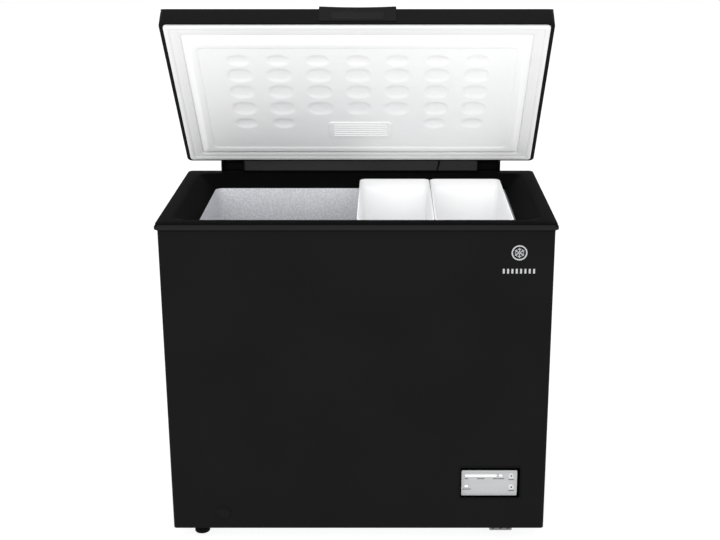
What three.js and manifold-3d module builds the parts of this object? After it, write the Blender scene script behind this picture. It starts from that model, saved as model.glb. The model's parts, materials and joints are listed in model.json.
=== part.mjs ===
// A chest freezer with a hinged lid, two hanging baskets, and a machine compartment low on the right.
// Millimetres, +X to the right, +Y to the rear, +Z up.
// The origin is on the floor, in the middle of the footprint.
// Inside the model, y is counted back from the front edge of the top frame, and the lid is drawn closed and then
// turned open about its hinge axis.
import * as THREE from "three";
import { mergeVertices } from "three/addons/utils/BufferGeometryUtils.js";
import Module from "manifold-3d";

const wasm = await Module();
wasm.setup();

// ---- driving dimensions ----
const GAP = 0.3; // clearance between pieces that touch
const WIDTH = 905; // top frame and lid, side to side
const FRAME_DEPTH = 510; // top frame, front to rear
const OVERALL_DEPTH = 550; // front of the top frame to the back of the hinges
const FRAME_TOP = 796; // above the floor
const FRAME_LIP = 11.5; // height of the frame's outer lip
const FRAME_SKIN = 3.2;
const FRAME_FLAT = 34.5; // width of the level top of the frame
const COLLAR_INSET = 82; // from the frame's edge to the liner
const COLLAR_DROP = 23.8;
const OVERHANG = 4.4; // frame over the cabinet's walls
const CABINET_BOTTOM = 28;
const WRAP_SKIN = 1.5;
const LINER_SKIN = 1.2;
const LINER_FLOOR = 92;
const LINER_RADIUS = 18;
const STEP_X = 90; // the liner's floor is raised to the right of this, over the machinery
const STEP_TOP = 325;
const MACHINE_X = 150; // left wall of the machine compartment
const MACHINE_TOP = 264;
const HINGE_Y = 529.6;
const HINGE_Z = 821.1;
const HINGE_X = 336.5; // centre of each hinge
const HINGE_WIDTH = 61;
const LID_OPEN = THREE.MathUtils.degToRad(50.76);
const LID_BOTTOM = 802;
const LID_THICKNESS = 47;
const LID_FRONT = -1.5;
const LID_REAR = 510.9;
const LID_SKIN = 2.5;
const PLUG_DEPTH = 11;
const BASKET_TOP = 788;
const BASKET_BOTTOM = 598;
const BASKETS = { left: [-1, 178], right: [179, 360] }; // side to side
const FOOT_HEIGHT = CABINET_BOTTOM - GAP;
const FOOT_Y = [44, FRAME_DEPTH - 44];
const DRAIN = { x: -325, z: 69, floorX: -300, floorY: 120 };

const RIGHT = WIDTH / 2;
const WALL_RIGHT = RIGHT - OVERHANG;
const WALL_FRONT = OVERHANG;
const WALL_REAR = FRAME_DEPTH - OVERHANG;
const LID_TOP = LID_BOTTOM + LID_THICKNESS;

// ---- finishes ----
const finish = (color, roughness, metalness = 0) =>
  new THREE.MeshStandardMaterial({ color, roughness, metalness });
const blackSheet = finish(0x1d1d1e, 0.42, 0.2);
const blackPlastic = finish(0x18181a, 0.5);
const hingeBlack = finish(0x0e0e0f, 0.55, 0.3);
const stripGrey = finish(0x2f2f2f, 0.6);
const whitePlastic = finish(0xf0f1f2, 0.4);
const gasketWhite = finish(0xf4f4f4, 0.65);
const basketWhite = finish(0xf2f3f4, 0.45);
const stucco = finish(0xc6c8cc, 0.35, 0.9);
const foamYellow = finish(0xe6d9a8, 0.9);
const zinc = finish(0xa9adb0, 0.45, 0.8);
const copper = finish(0xb87050, 0.35, 0.9);
const silverPlastic = finish(0xc4c6c8, 0.4, 0.3);
const lensWhite = finish(0xf8f8f8, 0.3);
const boardGreen = finish(0x2c6a3e, 0.6);
const footRubber = finish(0x101010, 0.8);
const footGrey = finish(0x6a6c6e, 0.6);
const compressorBlack = finish(0x161616, 0.5, 0.4);

// ---- solids ----
// A closed three.js geometry as a manifold solid.
function solid(geometry) {
  const bare = geometry.clone();
  bare.deleteAttribute("normal");
  bare.deleteAttribute("uv");
  const merged = mergeVertices(bare, 1e-4);
  return new wasm.Manifold(
    new wasm.Mesh({
      numProp: 3,
      vertProperties: merged.attributes.position.array,
      triVerts: new Uint32Array(merged.index.array),
    }),
  );
}

const join = (first, ...rest) => rest.reduce((whole, piece) => whole.add(piece), first);
const cut = (first, ...rest) => rest.reduce((whole, piece) => whole.subtract(piece), first);

function block(x0, x1, y0, y1, z0, z1) {
  const box = new THREE.BoxGeometry(x1 - x0, y1 - y0, z1 - z0);
  return solid(box.translate((x0 + x1) / 2, (y0 + y1) / 2, (z0 + z1) / 2));
}

function rectangle({ x0, x1, y0, y1, r }) {
  const shape = new THREE.Shape();
  shape.moveTo(x0 + r, y0);
  shape.absarc(x1 - r, y0 + r, r, -Math.PI / 2, 0);
  shape.absarc(x1 - r, y1 - r, r, 0, Math.PI / 2);
  shape.absarc(x0 + r, y1 - r, r, Math.PI / 2, Math.PI);
  shape.absarc(x0 + r, y0 + r, r, Math.PI, 1.5 * Math.PI);
  return shape;
}

// A solid through rounded rectangles, lowest first: each level has x0, x1, y0, y1, r and z.
function loft(levels, cornerSteps = 2) {
  const rings = levels.map((level) => {
    const points = rectangle(level).getPoints(cornerSteps);
    return points[0].distanceTo(points.at(-1)) < 1e-6 ? points.slice(0, -1) : points;
  });
  const count = rings[0].length;
  const positions = rings.flatMap((ring, i) => ring.flatMap((p) => [p.x, p.y, levels[i].z]));
  const faces = [];
  for (let i = 0; i + 1 < rings.length; i++)
    for (let j = 0; j < count; j++) {
      const [a, b] = [i * count + j, i * count + ((j + 1) % count)];
      faces.push(a, b, b + count, a, b + count, a + count);
    }
  const top = (rings.length - 1) * count;
  for (const [a, b, c] of THREE.ShapeUtils.triangulateShape(rings[0], [])) faces.push(a, c, b);
  for (const [a, b, c] of THREE.ShapeUtils.triangulateShape(rings.at(-1), []))
    faces.push(top + a, top + b, top + c);
  const geometry = new THREE.BufferGeometry();
  geometry.setAttribute("position", new THREE.Float32BufferAttribute(positions, 3));
  geometry.setIndex(faces);
  return solid(geometry);
}

// The same rounded rectangle from z0 to z1.
const slab = (outline, z0, z1) => loft([{ ...outline, z: z0 }, { ...outline, z: z1 }]);

// An outline extruded along X (drawn in y, z) or along Y (drawn in x, z).
const extruded = (shape, depth) =>
  new THREE.ExtrudeGeometry(shape, { depth, bevelEnabled: false, curveSegments: 8 });
const axes = (x, y, z) =>
  new THREE.Matrix4().makeBasis(new THREE.Vector3(...x), new THREE.Vector3(...y), new THREE.Vector3(...z));
const ALONG_X = axes([0, 1, 0], [0, 0, 1], [1, 0, 0]);
const ALONG_Y = axes([1, 0, 0], [0, 0, 1], [0, -1, 0]);
const prismX = (shape, x0, x1) =>
  solid(extruded(shape, x1 - x0).translate(0, 0, x0).applyMatrix4(ALONG_X));
const prismY = (shape, y0, y1) =>
  solid(extruded(shape, y1 - y0).translate(0, 0, -y1).applyMatrix4(ALONG_Y));
const polygon = (...points) => new THREE.Shape(points.map(([u, v]) => new THREE.Vector2(u, v)));

function rod(radius, from, to, sides = 20) {
  const [a, b] = [new THREE.Vector3(...from), new THREE.Vector3(...to)];
  const geometry = new THREE.CylinderGeometry(radius, radius, a.distanceTo(b), sides);
  const turn = new THREE.Quaternion().setFromUnitVectors(
    new THREE.Vector3(0, 1, 0),
    b.clone().sub(a).normalize(),
  );
  return solid(geometry.applyQuaternion(turn).translate(...a.add(b).multiplyScalar(0.5).toArray()));
}

// A profile of (radius, height) spun about +Z, then stood at a place or laid along +Y.
function turned(profile, sides) {
  const points = profile.map(([r, h]) => new THREE.Vector2(r, h));
  return new THREE.LatheGeometry(points, sides).rotateX(Math.PI / 2);
}
const standing = (profile, x, y, z, sides = 20) => solid(turned(profile, sides).translate(x, y, z));
const lyingBack = (profile, x, y, z, sides = 20) =>
  solid(turned(profile, sides).rotateX(-Math.PI / 2).translate(x, y, z));

// A run of tube through given points, one step per point.
class Run extends THREE.Curve {
  constructor(points) {
    super();
    this.points = points;
  }
  getPoint(t, target = new THREE.Vector3()) {
    const last = this.points.length - 1;
    const at = Math.min(Math.max(t, 0), 1) * last;
    const i = Math.min(Math.floor(at), last - 1);
    return target.lerpVectors(this.points[i], this.points[i + 1], at - i);
  }
  getPointAt(u, target) {
    return this.getPoint(u, target);
  }
  getTangentAt(u, target) {
    return this.getTangent(u, target);
  }
}

// Points along straight stretches with every corner rounded.
function bent(corners, radius, steps = 3) {
  const at = corners.map((p) => new THREE.Vector3(...p));
  const points = [at[0]];
  for (let i = 1; i + 1 < at.length; i++) {
    const reach = (to) => Math.min(radius, at[i].distanceTo(to) / 2);
    const before = at[i].clone().lerp(at[i - 1], reach(at[i - 1]) / at[i].distanceTo(at[i - 1]));
    const after = at[i].clone().lerp(at[i + 1], reach(at[i + 1]) / at[i].distanceTo(at[i + 1]));
    points.push(...new THREE.QuadraticBezierCurve3(before, at[i], after).getPoints(steps));
  }
  points.push(at.at(-1));
  return points.filter((p, i) => i === 0 || p.distanceTo(points[i - 1]) > 0.01);
}

function tube(points, radius, { sides = 8, bore = 0 } = {}) {
  const circle = (r) =>
    Array.from({ length: sides }, (_, i) => {
      const a = (2 * Math.PI * i) / sides;
      return new THREE.Vector2(r * Math.cos(a), r * Math.sin(a));
    });
  const section = new THREE.Shape(circle(radius));
  if (bore) section.holes.push(new THREE.Path(circle(bore)));
  const path = new Run(points);
  return solid(new THREE.ExtrudeGeometry(section, { extrudePath: path, steps: points.length - 1 }));
}

// ---- scene graph ----
const freezer = new THREE.Group();
freezer.position.y = -OVERALL_DEPTH / 2;
const cabinet = new THREE.Group();
const lid = new THREE.Group();
lid.position.set(0, HINGE_Y, HINGE_Z);
lid.rotation.x = -LID_OPEN;
const lidClosed = new THREE.Group(); // drawn in the cabinet's coordinates
lidClosed.position.set(0, -HINGE_Y, -HINGE_Z);
lid.add(lidClosed);
freezer.add(cabinet, lid);

function add(parent, name, shape, material) {
  const { numProp, vertProperties, triVerts } = shape.getMesh();
  const geometry = new THREE.BufferGeometry();
  geometry.setAttribute("position", new THREE.BufferAttribute(vertProperties, numProp));
  geometry.setIndex(new THREE.BufferAttribute(triVerts, 1));
  geometry.computeVertexNormals();
  const mesh = new THREE.Mesh(geometry, material);
  mesh.name = name;
  parent.add(mesh);
}

// Outlines set in from the frame's edge, in plan.
const inFrame = (inset, r) => ({
  x0: -RIGHT + inset,
  x1: RIGHT - inset,
  y0: inset,
  y1: FRAME_DEPTH - inset,
  r,
});
// Outlines set in from the lid's edge: sides, front, rear.
const inLid = (side, front, rear, r) => ({
  x0: -RIGHT + side,
  x1: RIGHT - side,
  y0: LID_FRONT + front,
  y1: LID_REAR - rear,
  r,
});

// ---- control recess, front lower right ----
const RECESS = { x0: 245, x1: 389, z0: 109, z1: 189.5, floor: 12.7 };
const FACE = { x0: 247.6, x1: 380.6, z0: 113, z1: 179.4, front: 10.4, back: 12.4 };
const LIGHTS = {
  light_bar_lens: [255, 332.5, 163, 168.6],
  fast_freeze_lens: [336, 346, 163, 168.6],
  power_lens: [254.5, 264, 135, 140.2],
};
const BUTTONS = { temperature_button: [366.6, 165.4], fast_freeze_button: [367.4, 135.8] };
const BUTTON_RADIUS = 5;

function controls() {
  const { x0, x1, z0, z1, floor } = RECESS;
  const wall = 1.2;
  const flange = 4;
  const buttonHoles = Object.values(BUTTONS).map(([x, z]) =>
    rod(BUTTON_RADIUS + 0.5, [x, 0, z], [x, 30, z]),
  );
  const bezel = cut(
    join(
      block(x0 - flange, x1 + flange, WALL_FRONT - 1.4, WALL_FRONT - GAP, z0 - flange, z1 + flange),
      block(x0 - wall, x1 + wall, WALL_FRONT - 1.4, floor + wall, z0 - wall, z1 + wall),
    ),
    block(x0, x1, 0, floor, z0, z1),
    ...buttonHoles,
  );
  add(cabinet, "control_bezel", bezel, blackPlastic);

  const lensHoles = Object.values(LIGHTS).map(([a, b, c, d]) =>
    block(a - GAP, b + GAP, 0, 30, c - GAP, d + GAP),
  );
  const face = cut(
    block(FACE.x0, FACE.x1, FACE.front, FACE.back, FACE.z0, FACE.z1),
    ...buttonHoles,
    ...lensHoles,
  );
  add(cabinet, "control_faceplate", face, silverPlastic);
  for (const [name, [a, b, c, d]] of Object.entries(LIGHTS))
    add(cabinet, name, block(a, b, FACE.front - 0.4, FACE.back, c, d), lensWhite);
  for (const [name, [x, z]] of Object.entries(BUTTONS)) {
    const profile = [
      [0, 0],
      [BUTTON_RADIUS - 0.6, 0],
      [BUTTON_RADIUS, 0.6],
      [BUTTON_RADIUS, 7.5],
      [0, 7.5],
    ];
    add(cabinet, name, lyingBack(profile, x, FACE.front - 1.6, z), silverPlastic);
  }
  add(cabinet, "control_board", block(250, 378, 18, 19.6, 114, 178), boardGreen);
}

// ---- cabinet shells ----
const GRILLE = { y0: 296, y1: 472, z0: 58, z1: 222 };
const VENT_COVER = { x0: 160, x1: 436, z0: 48, z1: 256 };

function outerWrap() {
  const outer = { x0: -WALL_RIGHT, x1: WALL_RIGHT, y0: WALL_FRONT, y1: WALL_REAR, r: 8 };
  const inner = {
    x0: -WALL_RIGHT + WRAP_SKIN,
    x1: WALL_RIGHT - WRAP_SKIN,
    y0: WALL_FRONT + WRAP_SKIN,
    y1: WALL_REAR - WRAP_SKIN,
    r: 8 - WRAP_SKIN,
  };
  const top = FRAME_TOP - FRAME_SKIN - GAP;
  const clear = 1.5;
  const { y0, y1, z0, z1 } = GRILLE;
  const shell = cut(
    slab(outer, CABINET_BOTTOM, top),
    slab(inner, CABINET_BOTTOM - 1, top + 1),
    block(-436, 436, WALL_REAR - 5, WALL_REAR + 5, 0, top + 1),
    block(RECESS.x0 - clear, RECESS.x1 + clear, 0, 20, RECESS.z0 - clear, RECESS.z1 + clear),
    rod(13, [DRAIN.x, -5, DRAIN.z], [DRAIN.x, 20, DRAIN.z]),
    block(WALL_RIGHT - 5, WALL_RIGHT + 5, y0 - GAP, y1 + GAP, z0 - GAP, z1 + GAP),
  );
  add(cabinet, "outer_wrap", shell, blackSheet);
}

function rearPanel() {
  const { x0, x1, z0, z1 } = VENT_COVER;
  const lap = 12;
  const face = WALL_REAR + GAP;
  const panel = cut(
    block(-446, 446, face, face + LINER_SKIN, CABINET_BOTTOM, FRAME_TOP - FRAME_LIP - GAP),
    block(x0 + lap, x1 - lap, face - 1, face + 5, z0 + lap, z1 - lap),
  );
  add(cabinet, "rear_panel", panel, zinc);

  const coverFace = face + LINER_SKIN + GAP;
  const slots = [];
  for (const column of [185, 305])
    for (let z = 84; z < 230; z += 16) {
      slots.push(block(column, column + 100, coverFace - 1, 520, z, z + 7));
    }
  const gland = rod(8.5, [410, 500, 64], [410, 530, 64]);
  const cover = cut(block(x0, x1, coverFace, coverFace + 2, z0, z1), gland, ...slots);
  add(cabinet, "rear_machine_cover", cover, blackPlastic);
  const glandProfile = [
    [0, 0],
    [8, 0],
    [8, 2.6],
    [12, 2.6],
    [12, 5],
    [9, 12],
    [0, 12],
  ];
  add(cabinet, "cord_gland", lyingBack(glandProfile, 410, coverFace, 64), blackPlastic);
}

function sideGrille() {
  const { y0, y1, z0, z1 } = GRILLE;
  const slots = [];
  for (let z = z0 + 12; z < z1 - 14; z += 13)
    slots.push(block(WALL_RIGHT - 9, WALL_RIGHT + 9, y0 + 12, y1 - 12, z, z + 6));
  const grille = cut(block(WALL_RIGHT - 2.5, WALL_RIGHT + 1.5, y0, y1, z0, z1), ...slots);
  add(cabinet, "side_grille", grille, blackPlastic);
}

// Sheet under the foam, stepped up over the machine compartment, with holes for the pipes.
const PIPE_HOLES = { suction: [215, 470], discharge: [400, 470], liquid: [190, 490], capillary: [240, 480] };
function bottomPan() {
  const side = WALL_RIGHT - WRAP_SKIN - GAP;
  const t = LINER_SKIN;
  const outline = polygon(
    [-side, CABINET_BOTTOM],
    [MACHINE_X + t, CABINET_BOTTOM],
    [MACHINE_X + t, MACHINE_TOP - t],
    [side, MACHINE_TOP - t],
    [side, MACHINE_TOP],
    [MACHINE_X, MACHINE_TOP],
    [MACHINE_X, CABINET_BOTTOM + t],
    [-side, CABINET_BOTTOM + t],
  );
  const pipes = Object.values(PIPE_HOLES).map(([x, y]) => rod(6, [x, y, 255], [x, y, 275], 12));
  const [front, rear] = [WALL_FRONT + WRAP_SKIN + GAP, WALL_REAR - WRAP_SKIN - GAP];
  const inside = { x0: -side, x1: side, y0: front, y1: rear, r: 7 };
  const pan = cut(prismY(outline, front, rear), ...pipes);
  add(cabinet, "bottom_pan", pan.intersect(slab(inside, 0, MACHINE_TOP + 1)), zinc);
}

function innerLiner() {
  const inset = COLLAR_INSET;
  const t = LINER_SKIN;
  const top = FRAME_TOP - COLLAR_DROP - 3.9;
  const outer = cut(
    slab(inFrame(inset - t, LINER_RADIUS + t), LINER_FLOOR - t, top),
    block(STEP_X + t, RIGHT, 0, FRAME_DEPTH, 0, STEP_TOP - t),
  );
  const hollow = cut(
    slab(inFrame(inset, LINER_RADIUS), LINER_FLOOR, top + 1),
    block(STEP_X, RIGHT, 0, FRAME_DEPTH, 0, STEP_TOP),
  );
  const { floorX, floorY } = DRAIN;
  const drain = rod(11.5, [floorX, floorY, 80], [floorX, floorY, 100]);
  add(cabinet, "inner_liner", cut(outer, hollow, drain), stucco);
}

// ---- refrigeration circuit ----
const EVAPORATOR_RADIUS = 4;
const EVAPORATOR_CLEAR = 1.2; // from the liner
const CONDENSER_RADIUS = 3;
const CONDENSER_CLEAR = 0.6; // from the painted wrap
const DRAIN_HOSE = bent(
  [
    [DRAIN.floorX, DRAIN.floorY, LINER_FLOOR - LINER_SKIN - GAP],
    [DRAIN.floorX, DRAIN.floorY, DRAIN.z],
    [DRAIN.x, 70, DRAIN.z],
    [DRAIN.x, 16, DRAIN.z],
  ],
  16,
);

// Turns of tube round the outside of the liner, from the top down, ending over its hole in the pan.
function evaporatorRun() {
  const near = COLLAR_INSET - LINER_SKIN - EVAPORATOR_RADIUS - EVAPORATOR_CLEAR;
  const x = RIGHT - near;
  const far = FRAME_DEPTH - near;
  const corners = [[x - 60, far, 730]];
  const [highest, pitch, turns] = [730, 92, 4];
  for (let i = 0; i < turns; i++) {
    const z = highest - pitch * i;
    corners.push([-x, far, z - 20], [-x, near, z - 40], [x, near, z - 65], [x, far, z - 85]);
  }
  const [holeX, holeY] = PIPE_HOLES.suction;
  corners.push([holeX, far, 350], [holeX, holeY, 320], [holeX, holeY, MACHINE_TOP + 2]);
  return bent(corners, 20, 2);
}

// Passes of tube behind the side and front walls, which shed the heat through the painted skin.
function condenserRun() {
  const x = WALL_RIGHT - WRAP_SKIN - CONDENSER_RADIUS - CONDENSER_CLEAR;
  const front = WALL_FRONT + WRAP_SKIN + CONDENSER_RADIUS + CONDENSER_CLEAR;
  const back = 455;
  const [inX, inY] = PIPE_HOLES.discharge;
  const [outX, outY] = PIPE_HOLES.liquid;
  const corners = [[inX, inY, MACHINE_TOP + 2], [inX, inY, 300], [x, back, 340]];
  [340, 490, 640].forEach((z, i) => {
    const side = i % 2 ? -x : x;
    if (i) corners.push([side, back, z]);
    corners.push([side, front, z], [-side, front, z], [-side, back, z]);
  });
  corners.push([-x + 12, outY, 660], [outX, outY, 660], [outX, outY, MACHINE_TOP + 2]);
  return bent(corners, 22, 2);
}

function foamAndCircuit() {
  const evaporator = evaporatorRun();
  const condenser = condenserRun();
  add(cabinet, "evaporator_tube", tube(evaporator, EVAPORATOR_RADIUS, { sides: 6 }), copper);
  add(cabinet, "condenser_tube", tube(condenser, CONDENSER_RADIUS, { sides: 6 }), copper);
  add(cabinet, "drain_hose", tube(DRAIN_HOSE, 11, { sides: 12, bore: 8 }), whitePlastic);

  const clear = 0.6;
  const channel = (radius) => (radius + clear) * Math.SQRT2; // a square channel that clears a round tube
  const skin = LINER_SKIN + GAP;
  const outer = slab(inFrame(OVERHANG + WRAP_SKIN + GAP, 6), CABINET_BOTTOM + skin, FRAME_TOP - 28.5);
  const machinery = block(MACHINE_X - GAP, RIGHT, 0, FRAME_DEPTH, 0, MACHINE_TOP + GAP);
  const liner = cut(
    slab(inFrame(COLLAR_INSET - skin, LINER_RADIUS + skin), LINER_FLOOR - skin, FRAME_TOP),
    block(STEP_X + skin, RIGHT, 0, FRAME_DEPTH, 0, STEP_TOP - skin),
  );
  const cap = rod(14, [DRAIN.x, 0, DRAIN.z], [DRAIN.x, 24, DRAIN.z]);
  const foam = cut(
    outer,
    machinery,
    liner,
    tube(evaporator, channel(EVAPORATOR_RADIUS), { sides: 4 }),
    tube(condenser, channel(CONDENSER_RADIUS), { sides: 4 }),
    tube(DRAIN_HOSE, 11 + clear, { sides: 12 }),
    cap,
  );
  add(cabinet, "foam_insulation", foam, foamYellow);
}

const COMPRESSOR = { x: 330, y: 350, base: 34 };
const TRAY = { x0: 153, x1: 443, y0: 11, y1: 500, skin: 2, height: 12 };
function machinery() {
  const { x, y, base } = COMPRESSOR;
  const { x0, x1, y0, y1, skin, height } = TRAY;
  const bottom = CABINET_BOTTOM;
  const pan = cut(
    block(x0, x1, y0, y1, bottom, bottom + height),
    block(x0 + skin, x1 - skin, y0 - 1, y1 + 1, bottom + skin, bottom + height + 1),
  );
  add(cabinet, "compressor_tray", pan, zinc);

  const shell = [
    [0, 0],
    [56, 0],
    [70, 10],
    [74, 40],
    [74, 95],
    [66, 124],
    [40, 141],
    [0, 147],
  ];
  const plate = block(x - 95, x + 90, y - 34, y + 34, base + 4, base + 8);
  add(cabinet, "compressor", join(standing(shell, x, y, base), plate), compressorBlack);
  const feet = [];
  for (const dx of [-82, 78])
    for (const dy of [-22, 22]) feet.push([x + dx, y + dy]);
  feet.forEach(([fx, fy], i) => {
    const profile = [
      [0, 0],
      [9, 0],
      [7, 7.4],
      [0, 7.4],
    ];
    const name = "compressor_grommet_" + (i + 1);
    add(cabinet, name, standing(profile, fx, fy, CABINET_BOTTOM + skin + GAP, 12), footRubber);
  });
  const cover = block(x + 75, x + 96, y - 24, y + 24, base + 40, base + 95);
  add(cabinet, "compressor_terminal_cover", cover, blackPlastic);

  const pipeTop = MACHINE_TOP;
  const [suctionX, suctionY] = PIPE_HOLES.suction;
  const suction = bent(
    [[suctionX, suctionY, pipeTop], [suctionX, suctionY, 200], [228, y, 150], [x - 78, y, 120]],
    25,
  );
  add(cabinet, "suction_pipe", tube(suction, 4), copper);
  const [dischargeX, dischargeY] = PIPE_HOLES.discharge;
  const discharge = bent(
    [[dischargeX, dischargeY, pipeTop], [dischargeX, dischargeY, 150], [385, 405, 118]],
    20,
  );
  add(cabinet, "discharge_pipe", tube(discharge, 3), copper);
  const [liquidX, liquidY] = PIPE_HOLES.liquid;
  const drier = [
    [0, 0],
    [2, 0],
    [9, 12],
    [9, 78],
    [2, 92],
    [2, 104],
    [0, 104],
  ];
  add(cabinet, "filter_drier", standing(drier, liquidX, liquidY, 160), copper);
  const [capX, capY] = PIPE_HOLES.capillary;
  const capillary = bent(
    [[liquidX, liquidY, 159], [liquidX, liquidY, 140], [capX, capY, 140], [capX, capY, pipeTop]],
    14,
  );
  add(cabinet, "capillary_tube", tube(capillary, 1.3, { sides: 6 }), copper);
}

// ---- top frame ----
function topFrame() {
  const [flat, drop, skin] = [FRAME_FLAT, FRAME_TOP - COLLAR_DROP, FRAME_SKIN];
  const rim = cut(
    slab(inFrame(0, 12), FRAME_TOP - FRAME_LIP, FRAME_TOP),
    slab(inFrame(skin, 9), FRAME_TOP - FRAME_LIP - 1, FRAME_TOP - skin),
  );
  const collar = loft([
    { ...inFrame(COLLAR_INSET - 3, LINER_RADIUS + 3), z: drop - 3.6 },
    { ...inFrame(COLLAR_INSET - 3, LINER_RADIUS + 3), z: drop - 2 },
    { ...inFrame(flat - 1.5, 25), z: FRAME_TOP - 2.8 },
    { ...inFrame(flat - 1.5, 25), z: FRAME_TOP },
  ]);
  const mouth = loft([
    { ...inFrame(COLLAR_INSET, LINER_RADIUS), z: drop - 5 },
    { ...inFrame(COLLAR_INSET, LINER_RADIUS), z: drop },
    { ...inFrame(flat, 24), z: FRAME_TOP },
    { ...inFrame(flat, 24), z: FRAME_TOP + 1 },
  ]);
  add(cabinet, "top_frame", cut(join(rim, collar), mouth), blackPlastic);
}

// ---- drain ----
function drain() {
  const capProfile = [
    [0, 0],
    [16.5, 0],
    [17.7, 0.8],
    [17.7, 2],
    [12, 2],
    [12, 8],
    [7.5, 9],
    [7.5, 20],
    [0, 20],
  ];
  add(cabinet, "drain_cap", lyingBack(capProfile, DRAIN.x, WALL_FRONT - GAP - 2, DRAIN.z), blackPlastic);
  const plugProfile = [
    [0, -8],
    [7.4, -8],
    [7.4, 0.3],
    [15, 0.3],
    [14, 4],
    [5, 4],
    [4, 12],
    [0, 12],
  ];
  add(cabinet, "drain_plug", standing(plugProfile, DRAIN.floorX, DRAIN.floorY, LINER_FLOOR), whitePlastic);
}

// ---- feet: round ones on the left, wide tapered ones under the machine compartment ----
const ROUND_FOOT = { x: -384.5, radius: 18.4, neck: 14 };
const WIDE_FOOT = { x0: 316, x1: 380, taper: 5, depth: 40, front: -2, rear: -38 };
function feet() {
  FOOT_Y.forEach((y, i) => {
    const end = i ? "rear" : "front";
    const { x, radius, neck } = ROUND_FOOT;
    const round = [
      [0, 0],
      [radius - 1.3, 0],
      [radius, 1.5],
      [radius, 9],
      [neck, 12],
      [neck, FOOT_HEIGHT],
      [0, FOOT_HEIGHT],
    ];
    add(cabinet, `foot_${end}_left`, standing(round, x, y, 0), footRubber);
    const { x0, x1, taper, depth } = WIDE_FOOT;
    const wide = polygon([x0 + taper, 0], [x1 - taper, 0], [x1, FOOT_HEIGHT], [x0, FOOT_HEIGHT]);
    const near = y + WIDE_FOOT[end];
    add(cabinet, `foot_${end}_right`, prismY(wide, near, near + depth), footGrey);
  });
}

// ---- hinges ----
const CHEEK = 3;
const PIN_RADIUS = 4.5;
const HOUSING = { front: LID_REAR + 0.5, back: OVERALL_DEPTH, bottom: 640 };

function hinge(side, x) {
  const half = HINGE_WIDTH / 2;
  const inner = half - CHEEK;
  const { front, back, bottom } = HOUSING;
  const knuckle = 13;
  const cheek = new THREE.Shape();
  cheek.moveTo(front, bottom);
  cheek.lineTo(back - 6, bottom);
  cheek.lineTo(back, bottom + 10);
  cheek.lineTo(back, HINGE_Z - 15);
  cheek.lineTo(HINGE_Y + knuckle, HINGE_Z);
  cheek.absarc(HINGE_Y, HINGE_Z, knuckle, 0, Math.PI);
  cheek.lineTo(front, HINGE_Z - 6);
  const pinHole = rod(PIN_RADIUS + GAP, [x - 50, HINGE_Y, HINGE_Z], [x + 50, HINGE_Y, HINGE_Z]);
  const housing = cut(
    join(
      prismX(cheek, x - half, x + half),
      block(x - half, x + half, WALL_REAR + 1.8, front + 1, bottom + 10, FRAME_TOP - FRAME_LIP - GAP),
    ),
    block(x - inner, x + inner, front + CHEEK, back - CHEEK, bottom + CHEEK, HINGE_Z + 20),
    block(x - inner, x + inner, front - 1, front + CHEEK + 1, FRAME_TOP - 2, HINGE_Z + 20),
    pinHole,
  );
  add(cabinet, `hinge_${side}_housing`, housing, hingeBlack);
  const pin = rod(PIN_RADIUS, [x - half - 2, HINGE_Y, HINGE_Z], [x + half + 2, HINGE_Y, HINGE_Z]);
  add(cabinet, `hinge_${side}_pin`, pin, zinc);

  const wire = 1.6;
  const coil = 9.5;
  const [low, high, turns, perTurn] = [bottom + CHEEK + 2.2, 780, 7, 8];
  const points = Array.from({ length: turns * perTurn + 1 }, (_, i) => {
    const a = (2 * Math.PI * i) / perTurn;
    const z = low + ((high - low) * i) / (turns * perTurn);
    return new THREE.Vector3(x + coil * Math.cos(a), HINGE_Y + 2 + coil * Math.sin(a), z);
  });
  add(cabinet, `hinge_${side}_spring`, tube(points, wire, { sides: 4 }), zinc);

  const reach = inner - 1.5;
  const arm = cut(
    join(
      block(x - reach, x + reach, LID_REAR + GAP, LID_REAR + 2.5, LID_BOTTOM + 4, LID_TOP - 4),
      block(x - reach, x + reach, LID_REAR + 2, HINGE_Y, HINGE_Z - 6, HINGE_Z + 6),
      rod(9, [x - reach, HINGE_Y, HINGE_Z], [x + reach, HINGE_Y, HINGE_Z]),
    ),
    pinHole,
  );
  add(lidClosed, `hinge_${side}_arm`, arm, hingeBlack);
}

// Channel between the hinges that covers the lamp's wiring.
const STRIP = { front: 517, back: 520, bottom: 758, top: 826 };
function wiringStrip() {
  const end = HINGE_X - HINGE_WIDTH / 2 - GAP;
  const strip = polygon(
    [WALL_REAR + 1.8, STRIP.bottom],
    [STRIP.back, STRIP.bottom],
    [STRIP.back, STRIP.top],
    [STRIP.front, STRIP.top],
    [STRIP.front, STRIP.bottom + 3],
    [WALL_REAR + 1.8, STRIP.bottom + 3],
  );
  add(cabinet, "rear_wiring_strip", prismX(strip, -end, end), stripGrey);
}

// Lead of the lid lamp, from the grommet in the lid's rear edge down behind the frame.
const LEAD = { top: 207, bottom: 199, radius: 1.9 };
function lampLead() {
  const points = new THREE.CatmullRomCurve3(
    [
      [LEAD.top, 511.6, 825.6],
      [LEAD.top - 0.5, 513, 822],
      [LEAD.top - 2, 513.6, 815],
      [LEAD.top - 5, 513.4, 802],
      [LEAD.bottom, 513.3, 788],
      [LEAD.bottom, 513.3, STRIP.bottom + 3 + GAP],
    ].map((p) => new THREE.Vector3(...p)),
  ).getPoints(16);
  add(cabinet, "lamp_lead", tube(points, LEAD.radius), blackPlastic);
}

const BADGE = { x: 367.6, z: 729.7, radius: 19.4, thickness: 1.6 };
function badge() {
  const { x, z, radius, thickness } = BADGE;
  const disc = [
    [0, 0],
    [radius - 0.8, 0],
    [radius, 0.6],
    [radius, thickness],
    [0, thickness],
  ];
  add(cabinet, "front_badge", lyingBack(disc, x, WALL_FRONT - GAP - thickness, z), silverPlastic);
}

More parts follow.
